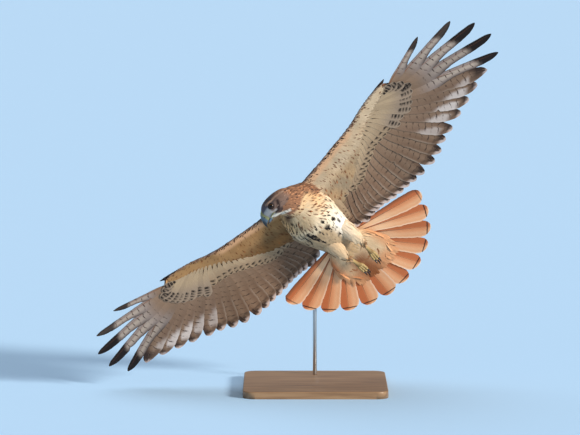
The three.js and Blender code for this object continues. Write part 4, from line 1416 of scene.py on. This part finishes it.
def covertsOf(rays, place):
    rows = []
    for level in ("under", "upper"):
        for ray in rays:
            hand = ray["kind"] == "primary"
            full = flight["handCovert" if hand else "armCovert"][ray["number"] - 1]
            full = flight["tertialCovert"] if ray["kind"] == "tertial" else full
            spots = spotRows[("outerHand" if ray["number"] > 6 else "innerHand") if hand else "arm"]
            rows.append({
                **ray, "spots": spots, "shaftColour": quill["covert"], "wide": 1.0, "tip": "covert",
                "length": full * rng.normal(1, 0.03), "level": flight[level],
            })
    store = newStore()
    for i, ray in enumerate(rows):
        vane(store, ray, "covert", place, covertColours, covertLook, bakeLeft("covert", i))
    # long soft feathers of the armpit
    for i in range(flight["armpit"]):
        ray = {
            "root": (2 + 3.2 * i, 6 + 6.5 * i), "angle": math.radians(96 + 1.5 * i + rng.normal(0, 2)),
            "length": 66 + rng.normal(0, 3), "kind": "axillary", "level": -11 + 0.5 * i,
            "shade": rng.normal(1.02, 0.04), "shaftColour": quill["shaft"], "spots": spotRows["armpit"],
        }
        vane(store, ray, "covert", place, covertColours, covertLook, bakeLeft("covert", len(rows) + i))
    root, tip = flight["alulaRoot"], flight["alulaTip"]
    alula = {
        "root": root, "angle": math.atan2(tip[1] - root[1], tip[0] - root[0]), "length": math.dist(root, tip),
        "level": 1.5, "shade": 1.0, "shaftColour": quill["shaft"], "wide": 0.75,
    }
    vane(store, alula, "alula", place, alulaColours, covertLook, bakeStrips["alula"])
    return store


def makeWingFeathers(which, materials):
    rays = wingRays(which)
    place = lambda o, b, n: wingPoint(which, o, b, n)
    quills, coverts = quillsOf(rays, place), covertsOf(rays, place)
    nodes = ("wing_" + which, "hand_" + which)
    makePiece("quills_" + which, quills, materials["remex"], nodes)
    makePiece("coverts_" + which, coverts, materials["coat"], nodes)


def tailFan(count, spread, fan, length, level):
    rays = []
    for k in range(count):
        t = -1 + 2 * k / (count - 1)
        rays.append({
            "root": (spread * t, 0), "angle": math.radians(90 - t * fan), "place": t, "level": level,
            "length": length - tail["outerShort"] * abs(t) ** 1.5, "hand": -1 if t < 0 else 1,
            "shade": rng.normal(1, 0.04), "shaftColour": quill["tailDark"],
        })
    withPitch(rays)
    middle = rays[count // 2]
    middle["pitch"], middle["level"] = None, level + tail["middleRaise"]
    return rays


def makeTail(materials):
    quills, coverts = newStore(), newStore()
    for i, ray in enumerate(tailFan(*(tail[key] for key in ("count", "spread", "fan", "length", "level")))):
        vane(quills, ray, "tail", tailPoint, rectrixColours, tailLook, bakeLeft("tail", i))
    for i, ray in enumerate(tailFan(**tail["coverts"])):
        look = {**covertLook, "grow": 1.5}
        vane(coverts, ray, "covert", tailPoint, tailCovertColours, look, bakeLeft("tailCovert", i, 0.5))
    makePiece("tail_quills", quills, materials["rectrix"], ("tail",))
    makePiece("tail_coverts", coverts, materials["coat"], ("tail",))


# feather length in millimetres at stations of the body, head, neck and wing, and on other parts
leafSizes = {
    "body": ([-150, -60, 30, 90], [36, 31, 22, 16]),
    "head": ([-45, -20, 10, 30, 40], [13, 10, 7, 4.5, 3.5]),
    "neck": ([-90, -60, -30], [17, 15, 13]),
    "wing": ([0, 12, 40, 80, 130], [8, 11, 19, 28, 38]),
    "vent": 34, "leg": 27,
}


def sizesOver(field):
    tract, p = field["tract"], field["points"]
    hx, _, _ = headCoordinates(p)
    size = np.interp(p[:, 0], *leafSizes["body"])
    for name in ("head", "neck"):
        m = tractOn(tract, name)
        size[m] = np.interp(hx[m], *leafSizes[name])
    size[tractOn(tract, "vent")] = leafSizes["vent"]
    for which, part in (("left", "Left"), ("right", "Right")):
        m = tractOn(tract, "wing" + part)
        o, b, _ = wingCoordinates(which, p[m])
        size[m] = np.interp(behindFront(o, b), *leafSizes["wing"])
        size[tractOn(tract, "leg" + part)] = leafSizes["leg"]
    for _ in range(skinLook["sizeSmoothings"]):
        size = smoothOver(field, size)
    return size


def smoothOver(field, values):
    t = field["triangles"]
    mean = values[t].mean(1)
    total, weight = np.zeros(len(values)), np.zeros(len(values))
    for c in range(3):
        np.add.at(total, t[:, c], mean)
        np.add.at(weight, t[:, c], 1)
    return np.where(weight > 0, total / np.maximum(weight, 1), values)


def surfaceOf(skin):
    # the skin in the bird's own frame, to find the nearest place on
    bm = bmesh.new()
    bm.from_mesh(skin.data)
    for vert in bm.verts:
        vert.co = Vector(toBird(vert.co))
    surface = BVHTree.FromBMesh(bm)
    bm.free()
    return surface


def paintSkin(skin, field, material):
    colour, _ = fieldColour(field["tract"], field["points"], field["normals"][:, 2])
    # the skin shows only in gaps between the feathers and is painted a little darker, as painted shade under them
    setTint(skin.data, colour * skinLook["shade"])
    setMap(skin.data, "Vane", field["points"][:, :2] * web["mapScale"])
    setMap(skin.data, "OFBake", skinMap(field["tract"], field["points"], field["normals"]))
    skin.data.materials.append(material)
    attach(skin, "root")
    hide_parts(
        "torso", "neck", "head", "leg_left", "leg_right", "wing_left", "wing_right", "hand_left", "hand_right",
        "tail",
    )


# how the small feathers of each area stand: spacing and width as shares of their length, and so on
soft = {"spacing": 0.16, "stray": 0.09, "width": 0.27, "lift": 0.025}
flat = {"spacing": 0.27, "stray": 0.08, "width": 0.52, "lift": 0.03, "mottle": 0.07}
coatLooks = {
    "breast": soft, "back": flat, "mantle": flat,
    "vent": {**soft, "spacing": 0.115, "width": 0.2, "lift": 0.01, "stray": 0.06, "mottle": 0.03},
    "neck": {**soft, "spacing": 0.18},
    "head": {**soft, "spacing": 0.19, "width": 0.3},
    "leg": {**soft, "spacing": 0.115, "lift": 0.05, "stray": 0.14, "width": 0.19},
    "lining": {**flat, "spacing": 0.19, "width": 0.34, "mottle": 0.05, "lift": 0.02},
}
barLook = {"spacing": 0.17, "width": 0.11, "bend": 0.35, "shake": 0.09, "colour": quill["bar"]}
bandLook = {"at": 0.115, "half": 0.015, "colour": quill["band"]}


def feathersOfBird():
    materials = {
        "coat": plumage("softPlumage"),
        "remex": plumage("flightPlumage", bars=barLook, grain=0.1),
        "rectrix": plumage("tailPlumage", band=bandLook, grain=0.12),
    }
    skin, sources = makeSkin()
    field = skinField(skin, sources)
    field["size"] = np.ones(len(field["points"]))
    sowMarks(field)
    print("skin", len(skin.data.polygons), "faces")
    field["size"] = sizesOver(field)
    paintSkin(skin, field, materials["coat"])
    surface = surfaceOf(skin)
    p, normals, up = field["points"], field["normals"], field["normals"][:, 2]
    on = lambda *names: tractOn(field["tract"], *names)
    wear = lambda mask, *rest: dress(field, surface, mask, materials["coat"], *rest)
    wear(on("torso", "rump") & (up <= 0.1), "coat_breast", "body_plumage", "torso", coatLooks["breast"])
    wear(on("torso", "rump") & (up > 0.1), "coat_back", "body_plumage", "torso", coatLooks["back"])
    padUnder = on("vent") & (normals @ (tailTurn @ (0, 0, 1)) < 0.3)
    wear(padUnder, "coat_vent", "tail_plumage", "tail", coatLooks["vent"])
    wear(on("neck"), "coat_neck", "head_plumage", "neck", coatLooks["neck"])
    hx, _, hz = headCoordinates(p)
    bare = (np.hypot(hx - face["eye"][0], hz - face["eye"][1]) < face["bare"]) | (hx > 40)
    wear(on("head") & ~bare, "coat_head", "head_plumage", "head", coatLooks["head"])
    ribs = np.array(wing["ribs"])
    for which, part in (("left", "Left"), ("right", "Right")):
        leg = on("leg" + part) & (np.abs(normals @ thighWay(which)) < 0.7)
        wear(leg, "coat_leg_" + which, "body_plumage", "leg_" + which, coatLooks["leg"])
        arm, node = on("wing" + part), "wing_" + which
        o, b, _ = wingCoordinates(which, p)
        late = np.interp(o, ribs[:, 0], ribs[:, 2]) - b
        wear(arm & (up < 0), "lining_" + which, "wing_plumage", node, coatLooks["lining"])
        wear(arm & (up >= 0) & (late > 24), "mantle_" + which, "wing_plumage", node, coatLooks["mantle"])
        makeWingFeathers(which, materials)
    makeTail(materials)


# Bare parts: closed shells through rings of points, in the bird's frame
def shell(store, rings, tint):
    rings = np.asarray(rings, float)
    rows, sides = rings.shape[:2]
    j = np.arange(sides)
    tint = np.broadcast_to(np.asarray(tint, float)[:, None] if np.ndim(tint) == 2 else tint, (rows, sides, 3))
    reach = np.r_[0, np.cumsum(np.linalg.norm(np.diff(rings.mean(1), axis=0), axis=1))]
    flatMap = lambda u, v: np.stack(np.broadcast_arrays(u, v), -1).reshape(-1, 2)
    uv = flatMap(j[None] / sides, reach[:, None] * web["mapScale"])
    bake = flatMap(0.01 + 0.98 * j[None] / sides, 0.01 + 0.98 * (reach / reach[-1])[:, None])
    keep(store, rings.reshape(-1, 3), ringFaces(rows, sides), tint.reshape(-1, 3), uv, bake)


tubeEnd = {"narrow": 0.5, "out": 0.45}


def tube(store, path, radii, tint, steps=24, sides=16, flat=1.0):
    frames = framesAlong(path, radii, steps)
    c, s = np.cos(around(sides))[:, None], np.sin(around(sides))[:, None]
    rings = [place + r * (c * side + flat * s * rise) for place, way, side, rise, r in frames]
    ends = []
    for (place, way, _, _, r), ring, sign in ((frames[0], rings[0], -1), (frames[-1], rings[-1], 1)):
        ends.append(place + (ring - place) * tubeEnd["narrow"] + sign * way * r * tubeEnd["out"])
    tint = np.asarray(tint, float)
    if tint.ndim == 2:
        stops, t = np.linspace(0, 1, len(tint)), np.linspace(0, 1, steps)
        tint = np.stack([np.interp(np.r_[0, t, 1], stops, tint[:, k]) for k in range(3)], -1)
    shell(store, [ends[0], *rings, ends[1]], tint)


def around(sides):
    return np.arange(sides) * 2 * math.pi / sides


bareColours = {
    "cere": ink(122, 122, 80), "bill": ink(76, 94, 110), "billDeep": ink(32, 40, 49), "billTip": ink(11, 12, 15),
    "gape": ink(132, 124, 62), "nostril": ink(16, 15, 15), "lid": ink(24, 20, 22), "skin": ink(134, 104, 58),
    "skinPale": ink(178, 148, 94), "claw": ink(20, 18, 20), "clawRoot": ink(52, 46, 46),
    "pupil": ink(5, 4, 5), "iris": ink(70, 46, 24), "irisRim": ink(26, 16, 10),
}
bill = {
    "ridge": [(28, 20.5), (33, 19.6), (42, 16.4), (50, 10), (56.5, 0.5), (59.5, -8), (60, -17)],
    "cut": [(28, -9), (33, -9), (42, -9), (50, -9), (54, -10.5), (57, -13), (59.2, -18)],
    "half": [11.5, 10.5, 9.2, 7, 5, 3, 0.5],
    "lower": [(20, 9, 4.5), (33, 8.0, 5.2), (43, 5.4, 4.6), (51, 1.6, 1.3)],
    "mouth": -9, "nostril": (43.5, 8.2, 3.2), "gape": [(33, 10.5), (28, 15), (23, 19.6), (19, 22.4)],
    "rings": 34, "lowerRings": 20, "sides": 24, "cereSwell": 0.07, "floor": 0.3,
}
eyes = {
    "ball": 9.5, "at": (10, 6), "out": 18.2, "iris": 6.3, "pupil": 3.7, "lid": 7.2, "bulge": 0.05, "sides": 40,
    "lidSteps": 44, "lidSides": 10,
}


def makeUpperBill(material):
    store = newStore()
    t = np.linspace(0, 1, bill["rings"])
    at = np.linspace(0, 1, len(bill["half"]))
    curve = lambda values: through(at, values, t)
    lineOf = lambda key: np.stack([curve([p[c] for p in bill[key]]) for c in (0, 1)], -1)
    ridge, cutLine = lineOf("ridge"), lineOf("cut")
    half = curve(bill["half"])
    angle, low = around(bill["sides"]), bill["floor"]
    height = np.where(np.sin(angle) > 0, low + (1 - low) * np.sin(angle), low + low * np.sin(angle))
    rings = []
    for s, x in enumerate(t):
        swell = 1 + bill["cereSwell"] * (1 - step(x, 0.4, 0.47))
        spot = cutLine[s] + (ridge[s] - cutLine[s]) * (height * (1 + 0.4 * (swell - 1)))[:, None]
        y = half[s] * swell * np.sign(np.cos(angle)) * np.abs(np.cos(angle)) ** 0.85
        rings.append(headPoint(spot[:, 0], y, spot[:, 1]))
    shell(store, rings, painted(
        bareColours, bareColours["cere"],
        ("bill", step(t, 0.34, 0.42)), ("billDeep", step(t, 0.44, 0.6)), ("billTip", step(t, 0.56, 0.74)),
    ))
    nx, ny, nz = bill["nostril"]
    for side in (1, -1):
        line = [(nx - 1.2, side * (ny + 0.35), nz - 1.6), (nx + 1.2, side * (ny - 0.1), nz + 1.6)]
        line = [headPoint(*place) for place in line]
        tube(store, line, [1.0, 1.5, 1.0], bareColours["nostril"], steps=7, sides=12)
        line = [headPoint(x, side * y, bill["mouth"] + 0.4 - 0.5 * max(0, 24 - x)) for x, y in bill["gape"]]
        tube(store, line, [1.0, 1.5, 1.4, 0.6], bareColours["gape"], steps=14, sides=10)
    makePiece("bill_top", store, material, ("bill_upper",))


def makeLowerBill(material):
    store = newStore()
    angle = around(bill["sides"])
    at, half, deep = np.array(bill["lower"]).T
    along = np.linspace(at[0], at[-1], bill["lowerRings"])
    rings = []
    for x in along:
        w, d = float(through(at, half, x)), float(through(at, deep, x))
        lift = -0.5 - 0.006 * (x - 33) ** 2 * (x > 33)
        z = bill["mouth"] + lift + np.where(np.sin(angle) > 0, 0.15, 1.0) * d * np.sin(angle)
        rings.append(headPoint(np.full(len(angle), x), w * np.cos(angle), z))
    layers = ("bill", step(along, 32, 37)), ("billTip", step(along, 42, 49))
    shell(store, rings, painted(bareColours, bareColours["cere"], *layers))
    makePiece("bill_under", store, material, ("bill_lower",))


def makeEyes(eyeMaterial, skinMaterial):
    for side, name in ((1, "left"), (-1, "right")):
        centre = headPoint(eyes["at"][0], side * eyes["out"], eyes["at"][1])
        out = unit(headY * side + headX * 0.22 - headZ * 0.06)
        across = unit(np.cross(out, headZ))
        rise = np.cross(across, out)
        makeEyeball(name, centre, out, across, rise, eyeMaterial)
        makeLid(name, centre, out, across, rise, skinMaterial)


def makeEyeball(name, centre, out, across, rise, material):
    polar = np.radians(np.r_[0.5, np.linspace(4, 60, 30), np.linspace(66, 179.5, 22)])
    angle = around(eyes["sides"])
    rings = []
    for a in polar:
        r = eyes["ball"] * (1 + eyes["bulge"] * max(0, math.cos(a * 2.1)) * (a < 0.75))
        ring = np.cos(a) * out + np.sin(a) * (np.cos(angle)[:, None] * across + np.sin(angle)[:, None] * rise)
        rings.append(centre + r * ring)
    store = newStore()
    shell(store, rings, (0, 0, 0))
    # the eye's own map: round the pupil, and how far from its middle, 0 to 1 over half a turn
    eyeMap = np.broadcast_arrays(angle[None] / (2 * math.pi), (polar / math.pi)[:, None])
    store["vane"] = [np.stack(eyeMap, -1).reshape(-1, 2)]
    makePiece("eyeball_" + name, store, material, ("eye_" + name,))


def makeLid(name, centre, out, across, rise, material):
    # a rounded rim that closes on itself round the eye
    tilt = math.sqrt(eyes["ball"] ** 2 - eyes["lid"] ** 2)
    rings = []
    for a in np.linspace(0, 2 * math.pi, eyes["lidSteps"] + 1)[:-1]:
        spoke = math.cos(a) * across + math.sin(a) * rise
        middle = centre + out * (tilt + 0.3) + spoke * (eyes["lid"] + 0.2 * math.cos(a) ** 2)
        thick, angles = 0.8 + 0.5 * math.sin(a) ** 2, around(eyes["lidSides"])
        rings.append([middle + thick * (math.cos(c) * spoke + math.sin(c) * out) for c in angles])
    rings = np.array(rings)
    n, k = rings.shape[:2]
    i, j = np.meshgrid(np.arange(n), np.arange(k), indexing="ij")
    after, far = (j + 1) % k, (i + 1) % n * k
    faces = np.stack([i * k + j, i * k + after, far + after, far + j], -1).reshape(-1, 4)
    spread = np.stack([i / n, j / k], -1).reshape(-1, 2)
    store = newStore()
    keep(store, rings.reshape(-1, 3), faces, np.broadcast_to(bareColours["lid"], (n * k, 3)), spread, spread)
    makePiece("lid_" + name, store, material, ("eye_" + name,))


# Feet trail under the tail with the toes half closed
toes = {
    # across the palm, reach and drop of each toe, and its claw's length
    "front": [(-5.2, 31, -5, 17), (0, 34, -6, 19), (5.2, 30, -5, 16)],
    "hind": (0, 19, 9, 18),
    "radius": [4.6, 3.7, 4.3, 3.4, 3.8, 2.8],
    # stations of a toe: along it, across, share of the drop, and how far it arches
    "stations": [
        (0, 0.35, 0, 0), (0.28, 0.75, 0.1, 1.2), (0.55, 1.05, 0.35, 1.4), (0.8, 1.12, 0.7, 0.8), (1, 1.1, 1, 0),
    ],
    "tarsus": [5.2, 4.4, 4.6, 5.6], "palm": [5.0, 6.6, 4.6],
    "pads": (0.3, 0.58, 0.84), "padRadius": [1.6, 2.7, 1.6], "padDrop": 1.9,
    "hook": (0.15, 2.5), "hookRadius": 0.42, "claw": [2.6, 2.5, 2.1, 1.5, 0.9, 0.25],
}


def makeFoot(which, skinMaterial, clawMaterial):
    heel, palm = np.array(legs[which]["heel"], float), np.array(legs[which]["toes"], float)
    along = unit(palm - heel)
    across = unit(np.cross([0, 0, 1], along))
    at = lambda f, s, u: palm + along * f + across * s + np.array([0, 0, u])
    store = newStore()
    pale = bareColours["skinPale"]
    skinTint = np.array([bareColours["skin"], pale, bareColours["skin"]])
    clawTint = np.array([bareColours["clawRoot"], bareColours["claw"], bareColours["claw"]])
    shank = [heel - along * 8, heel + (palm - heel) * 0.5, palm]
    tube(store, shank, toes["tarsus"], skinTint, steps=26, sides=18)
    sole = [at(-5, 0, 0), at(1, 0, -0.5), at(7, 0, -1)]
    tube(store, sole, toes["palm"], bareColours["skin"], steps=10, sides=16, flat=0.8)
    # the front toes bend down and the hind toe up
    eachToe = [(*toe, 1) for toe in toes["front"]] + [(*toes["hind"], -1)]
    for number, (side, reach, drop, length, curl) in enumerate(eachToe, 1):
        path = [at(reach * f, side * s, drop * d + arch * curl) for f, s, d, arch in toes["stations"]]
        tube(store, path, toes["radius"], skinTint, steps=34, sides=14)
        for place in toes["pads"]:
            knots = np.linspace(0, 1, len(path))
            spot = np.array([np.interp(place, knots, [p[c] for p in path]) for c in range(3)])
            under = spot + np.array([0, 0, -toes["padDrop"] * curl])
            line = [under - along * 3, under, under + along * 3]
            tube(store, line, toes["padRadius"], pale, steps=8, sides=10)
        claw, radius = newStore(), toes["hookRadius"] * length
        hook = [at(reach - 2, side * 1.1, drop)]
        for bend in np.linspace(*toes["hook"], 6):
            forward, under = radius * math.sin(bend), radius * (1 - math.cos(bend))
            hook.append(at(reach + forward, side * 1.05, drop - curl * under))
        tube(claw, hook, toes["claw"], clawTint, steps=26, sides=12)
        makePiece(f"talon_{which}_{number}", claw, clawMaterial, (f"claw_{which}_{number}",))
    makePiece("toes_" + which, store, skinMaterial, ("foot_" + which,))


# the scales' map, and how deep they show
scales = {"stretch": (6, 45, 1), "strength": 0.7, "depth": 0.0008}


def hornMaterial():
    wire = Wiring("horn", 0.32, {"Coat Weight": 0.35, "Coat Roughness": 0.2})
    wire.plugAll(wire.shader, {"Base Color": wire.tint()})
    return wire.material


def eyeMaterial():
    wire = Wiring("eyeWet", 0.15, {"Specular IOR Level": 0.12, "Coat Weight": 0.2, "Coat Roughness": 0.02})
    _, _, fromMiddle = wire.vaneMap()
    iris, pupil = (math.asin(eyes[key] / eyes["ball"]) / math.pi for key in ("iris", "pupil"))
    black, brown, deep = (bareColours[key] for key in ("pupil", "iris", "irisRim"))
    stops = (pupil * 0.96, black), (pupil * 1.04, brown), (iris * 0.93, deep), (iris, black)
    wire.plugAll(wire.shader, {"Base Color": wire.ramp(fromMiddle, *stops)})
    return wire.material


def footMaterial():
    wire = Wiring("footSkin", 0.55)
    wire.plugAll(wire.shader, {"Base Color": wire.tint()})
    uv = wire.add("UVMap", {}, uv_map="Vane")[0]
    spread = wire.add("VectorMath", {0: uv, 1: scales["stretch"]}, operation="MULTIPLY")[0]
    cells = wire.add("TexVoronoi", {"Scale": 1.0, "Vector": spread})["Distance"]
    wire.bump(cells, scales["strength"], scales["depth"], invert=True)
    return wire.material


def makeBareParts():
    horn, eye, skin = hornMaterial(), eyeMaterial(), footMaterial()
    makeUpperBill(horn)
    makeLowerBill(horn)
    makeEyes(eye, skin)
    for which in ("left", "right"):
        makeFoot(which, skin, horn)


# Display stand, in the world's frame
stand = {
    "base": (0.36, 0.35, 0.018), "corner": 0.03, "rod": 0.005, "post": (0, 0.11), "postFrom": 0.0183,
    "postTo": 0.4237, "block": 0.024, "blockHeight": 0.03, "level": 0.439, "armFrom": 0.0977, "armTo": -0.055,
    "rimBevel": 0.0022, "blockBevel": 0.0016, "rodBevel": 0.0004, "rodSides": 48,
}
wood = {
    "stretch": (2.2, 26, 26), "scale": 3.0, "detail": 6.0, "distortion": 0.6,
    "grain": [(0.3, ink(112, 82, 56)), (0.5, ink(142, 108, 76)), (0.7, ink(160, 126, 92))],
}


def bodyFrom(name, bm, material, node):
    mesh = bpy.data.meshes.new(name)
    bmesh.ops.recalc_face_normals(bm, faces=bm.faces[:])
    bm.to_mesh(mesh)
    bm.free()
    smooth = [len(f.vertices) == 4 and f.area < 0.0005 for f in mesh.polygons]
    mesh.polygons.foreach_set("use_smooth", smooth)
    finish(name, mesh, material, (node,))


def rounded(bm, edges, offset, segments):
    bmesh.ops.bevel(
        bm, geom=edges, offset=offset, segments=segments, affect="EDGES", profile=0.5, material=-1,
    )


def rod(start, end):
    bm = bmesh.new()
    start, end = Vector(start), Vector(end)
    radius, sides = stand["rod"], stand["rodSides"]
    place = Matrix.LocRotScale((start + end) / 2, (end - start).to_track_quat("Z", "Y"), None)
    bmesh.ops.create_cone(
        bm, cap_ends=True, segments=sides, radius1=radius, radius2=radius, depth=(end - start).length,
        matrix=place,
    )
    rims = [e for e in bm.edges if sorted(len(f.verts) for f in e.link_faces) == [4, sides]]
    rounded(bm, rims, stand["rodBevel"], 2)
    return bm


def box(middle, size):
    bm = bmesh.new()
    bmesh.ops.create_cube(bm, size=1, matrix=Matrix.Translation(middle) @ Matrix.Diagonal((*size, 1)))
    return bm


def woodMaterial():
    wire = Wiring("oiledOak", 0.42, {"Coat Weight": 0.15, "Coat Roughness": 0.3})
    place = wire.add("TexCoord", {})["Object"]
    stretch = wire.add("Mapping", {"Scale": wood["stretch"], 0: place})[0]
    more = {"Detail": wood["detail"], "Distortion": wood["distortion"]}
    grain = wire.noise(stretch, wood["scale"], more, "3D")
    wire.plugAll(wire.shader, {"Base Color": wire.ramp(grain, *wood["grain"])})
    return wire.material


def makeStand():
    steel = Wiring("brushedSteel", 0.34, {"Metallic": 1.0, "Base Color": (0.5, 0.5, 0.5)}).material
    height, level = stand["base"][2], stand["level"]
    bm = box((0, 0, height / 2), stand["base"])
    upright = [e for e in bm.edges if abs(e.verts[0].co.z - e.verts[1].co.z) > height / 2]
    rounded(bm, upright, stand["corner"], 12)
    rounded(bm, [e for e in bm.edges if min(v.co.z for v in e.verts) > height - 1e-5], stand["rimBevel"], 3)
    bodyFrom("base_board", bm, woodMaterial(), "stand_base")
    x, y = stand["post"]
    post = rod((x, y, stand["postFrom"]), (x, y, stand["postTo"]))
    bodyFrom("post_rod", post, steel, "stand_post")
    bm = box((x, y, level), (stand["block"], stand["block"], stand["blockHeight"]))
    rounded(bm, bm.edges[:], stand["blockBevel"], 3)
    bodyFrom("corner_block", bm, steel, "stand_elbow")
    arm = rod((x, stand["armFrom"], level), (x, stand["armTo"], level))
    bodyFrom("arm_rod", arm, steel, "stand_arm")
    print("stand is in place")


# Stage, camera and light
view = {"elevation": 6.0, "distance": 8.0, "right": -63.2, "up": 5.9, "width": 1.4371, "sensor": 36.0}
lights = {
    "sun": {"energy": 4.1, "angle": 11, "turn": (0.78, -0.5, 0.35), "colour": (1.0, 0.95, 0.87)},
    "fill": {"energy": 0.3, "angle": 90, "turn": (-0.5, -0.8, -0.1), "colour": (1.0, 0.98, 0.95)},
    "top": {"energy": 0.95, "angle": 60, "turn": (-0.2, 0.3, 0.9), "colour": (0.95, 0.97, 1.0)},
    "sky": (0.93, 0.96, 1.0), "skyStrength": 0.3, "floor": (0.465, 0.696, 0.95), "floorSize": 70,
}


def makeStage():
    bm = bmesh.new()
    bmesh.ops.create_grid(bm, x_segments=8, y_segments=8, size=lights["floorSize"])
    mesh = bpy.data.meshes.new("floor")
    bm.to_mesh(mesh)
    bm.free()
    floor = collect("floor", mesh)
    mesh.materials.append(Wiring("paleFloor", 0.9, {"Base Color": lights["floor"]}).material)
    for name in ("sun", "fill", "top"):
        look = lights[name]
        lamp = bpy.data.lights.new(name, "SUN")
        lamp.energy, lamp.angle, lamp.color = look["energy"], math.radians(look["angle"]), look["colour"]
        collect(name, lamp).rotation_euler = Vector(look["turn"]).to_track_quat("Z", "Y").to_euler()
    world = bpy.data.worlds.new("studio")
    world.use_nodes = True
    sky = world.node_tree.nodes["Background"].inputs
    sky[0].default_value = (*lights["sky"], 1)
    sky[1].default_value = lights["skyStrength"]
    bpy.context.scene.world = world
    bpy.context.scene.view_settings.view_transform = "Standard"


def makeCamera():
    e = math.radians(view["elevation"])
    back = Vector((0, -math.cos(e), math.sin(e)))
    right = Vector((1, 0, 0))
    up = back.cross(right)
    middle = Vector(attitude["at"]) * mm + right * view["right"] * mm + up * view["up"] * mm
    data = bpy.data.cameras.new("camera")
    data.sensor_width = view["sensor"]
    data.lens = view["sensor"] * view["distance"] / view["width"]
    data.clip_end = 200
    camera = collect("camera", data)
    camera.matrix_world = Matrix.LocRotScale(
        middle + back * view["distance"], Matrix((right, up, back)).transposed().to_quaternion(), None
    )
    bpy.context.scene.camera = camera


makeStage()
makeCamera()
print("stage and camera are in place")
makeStand()
makeBareParts()
feathersOfBird()
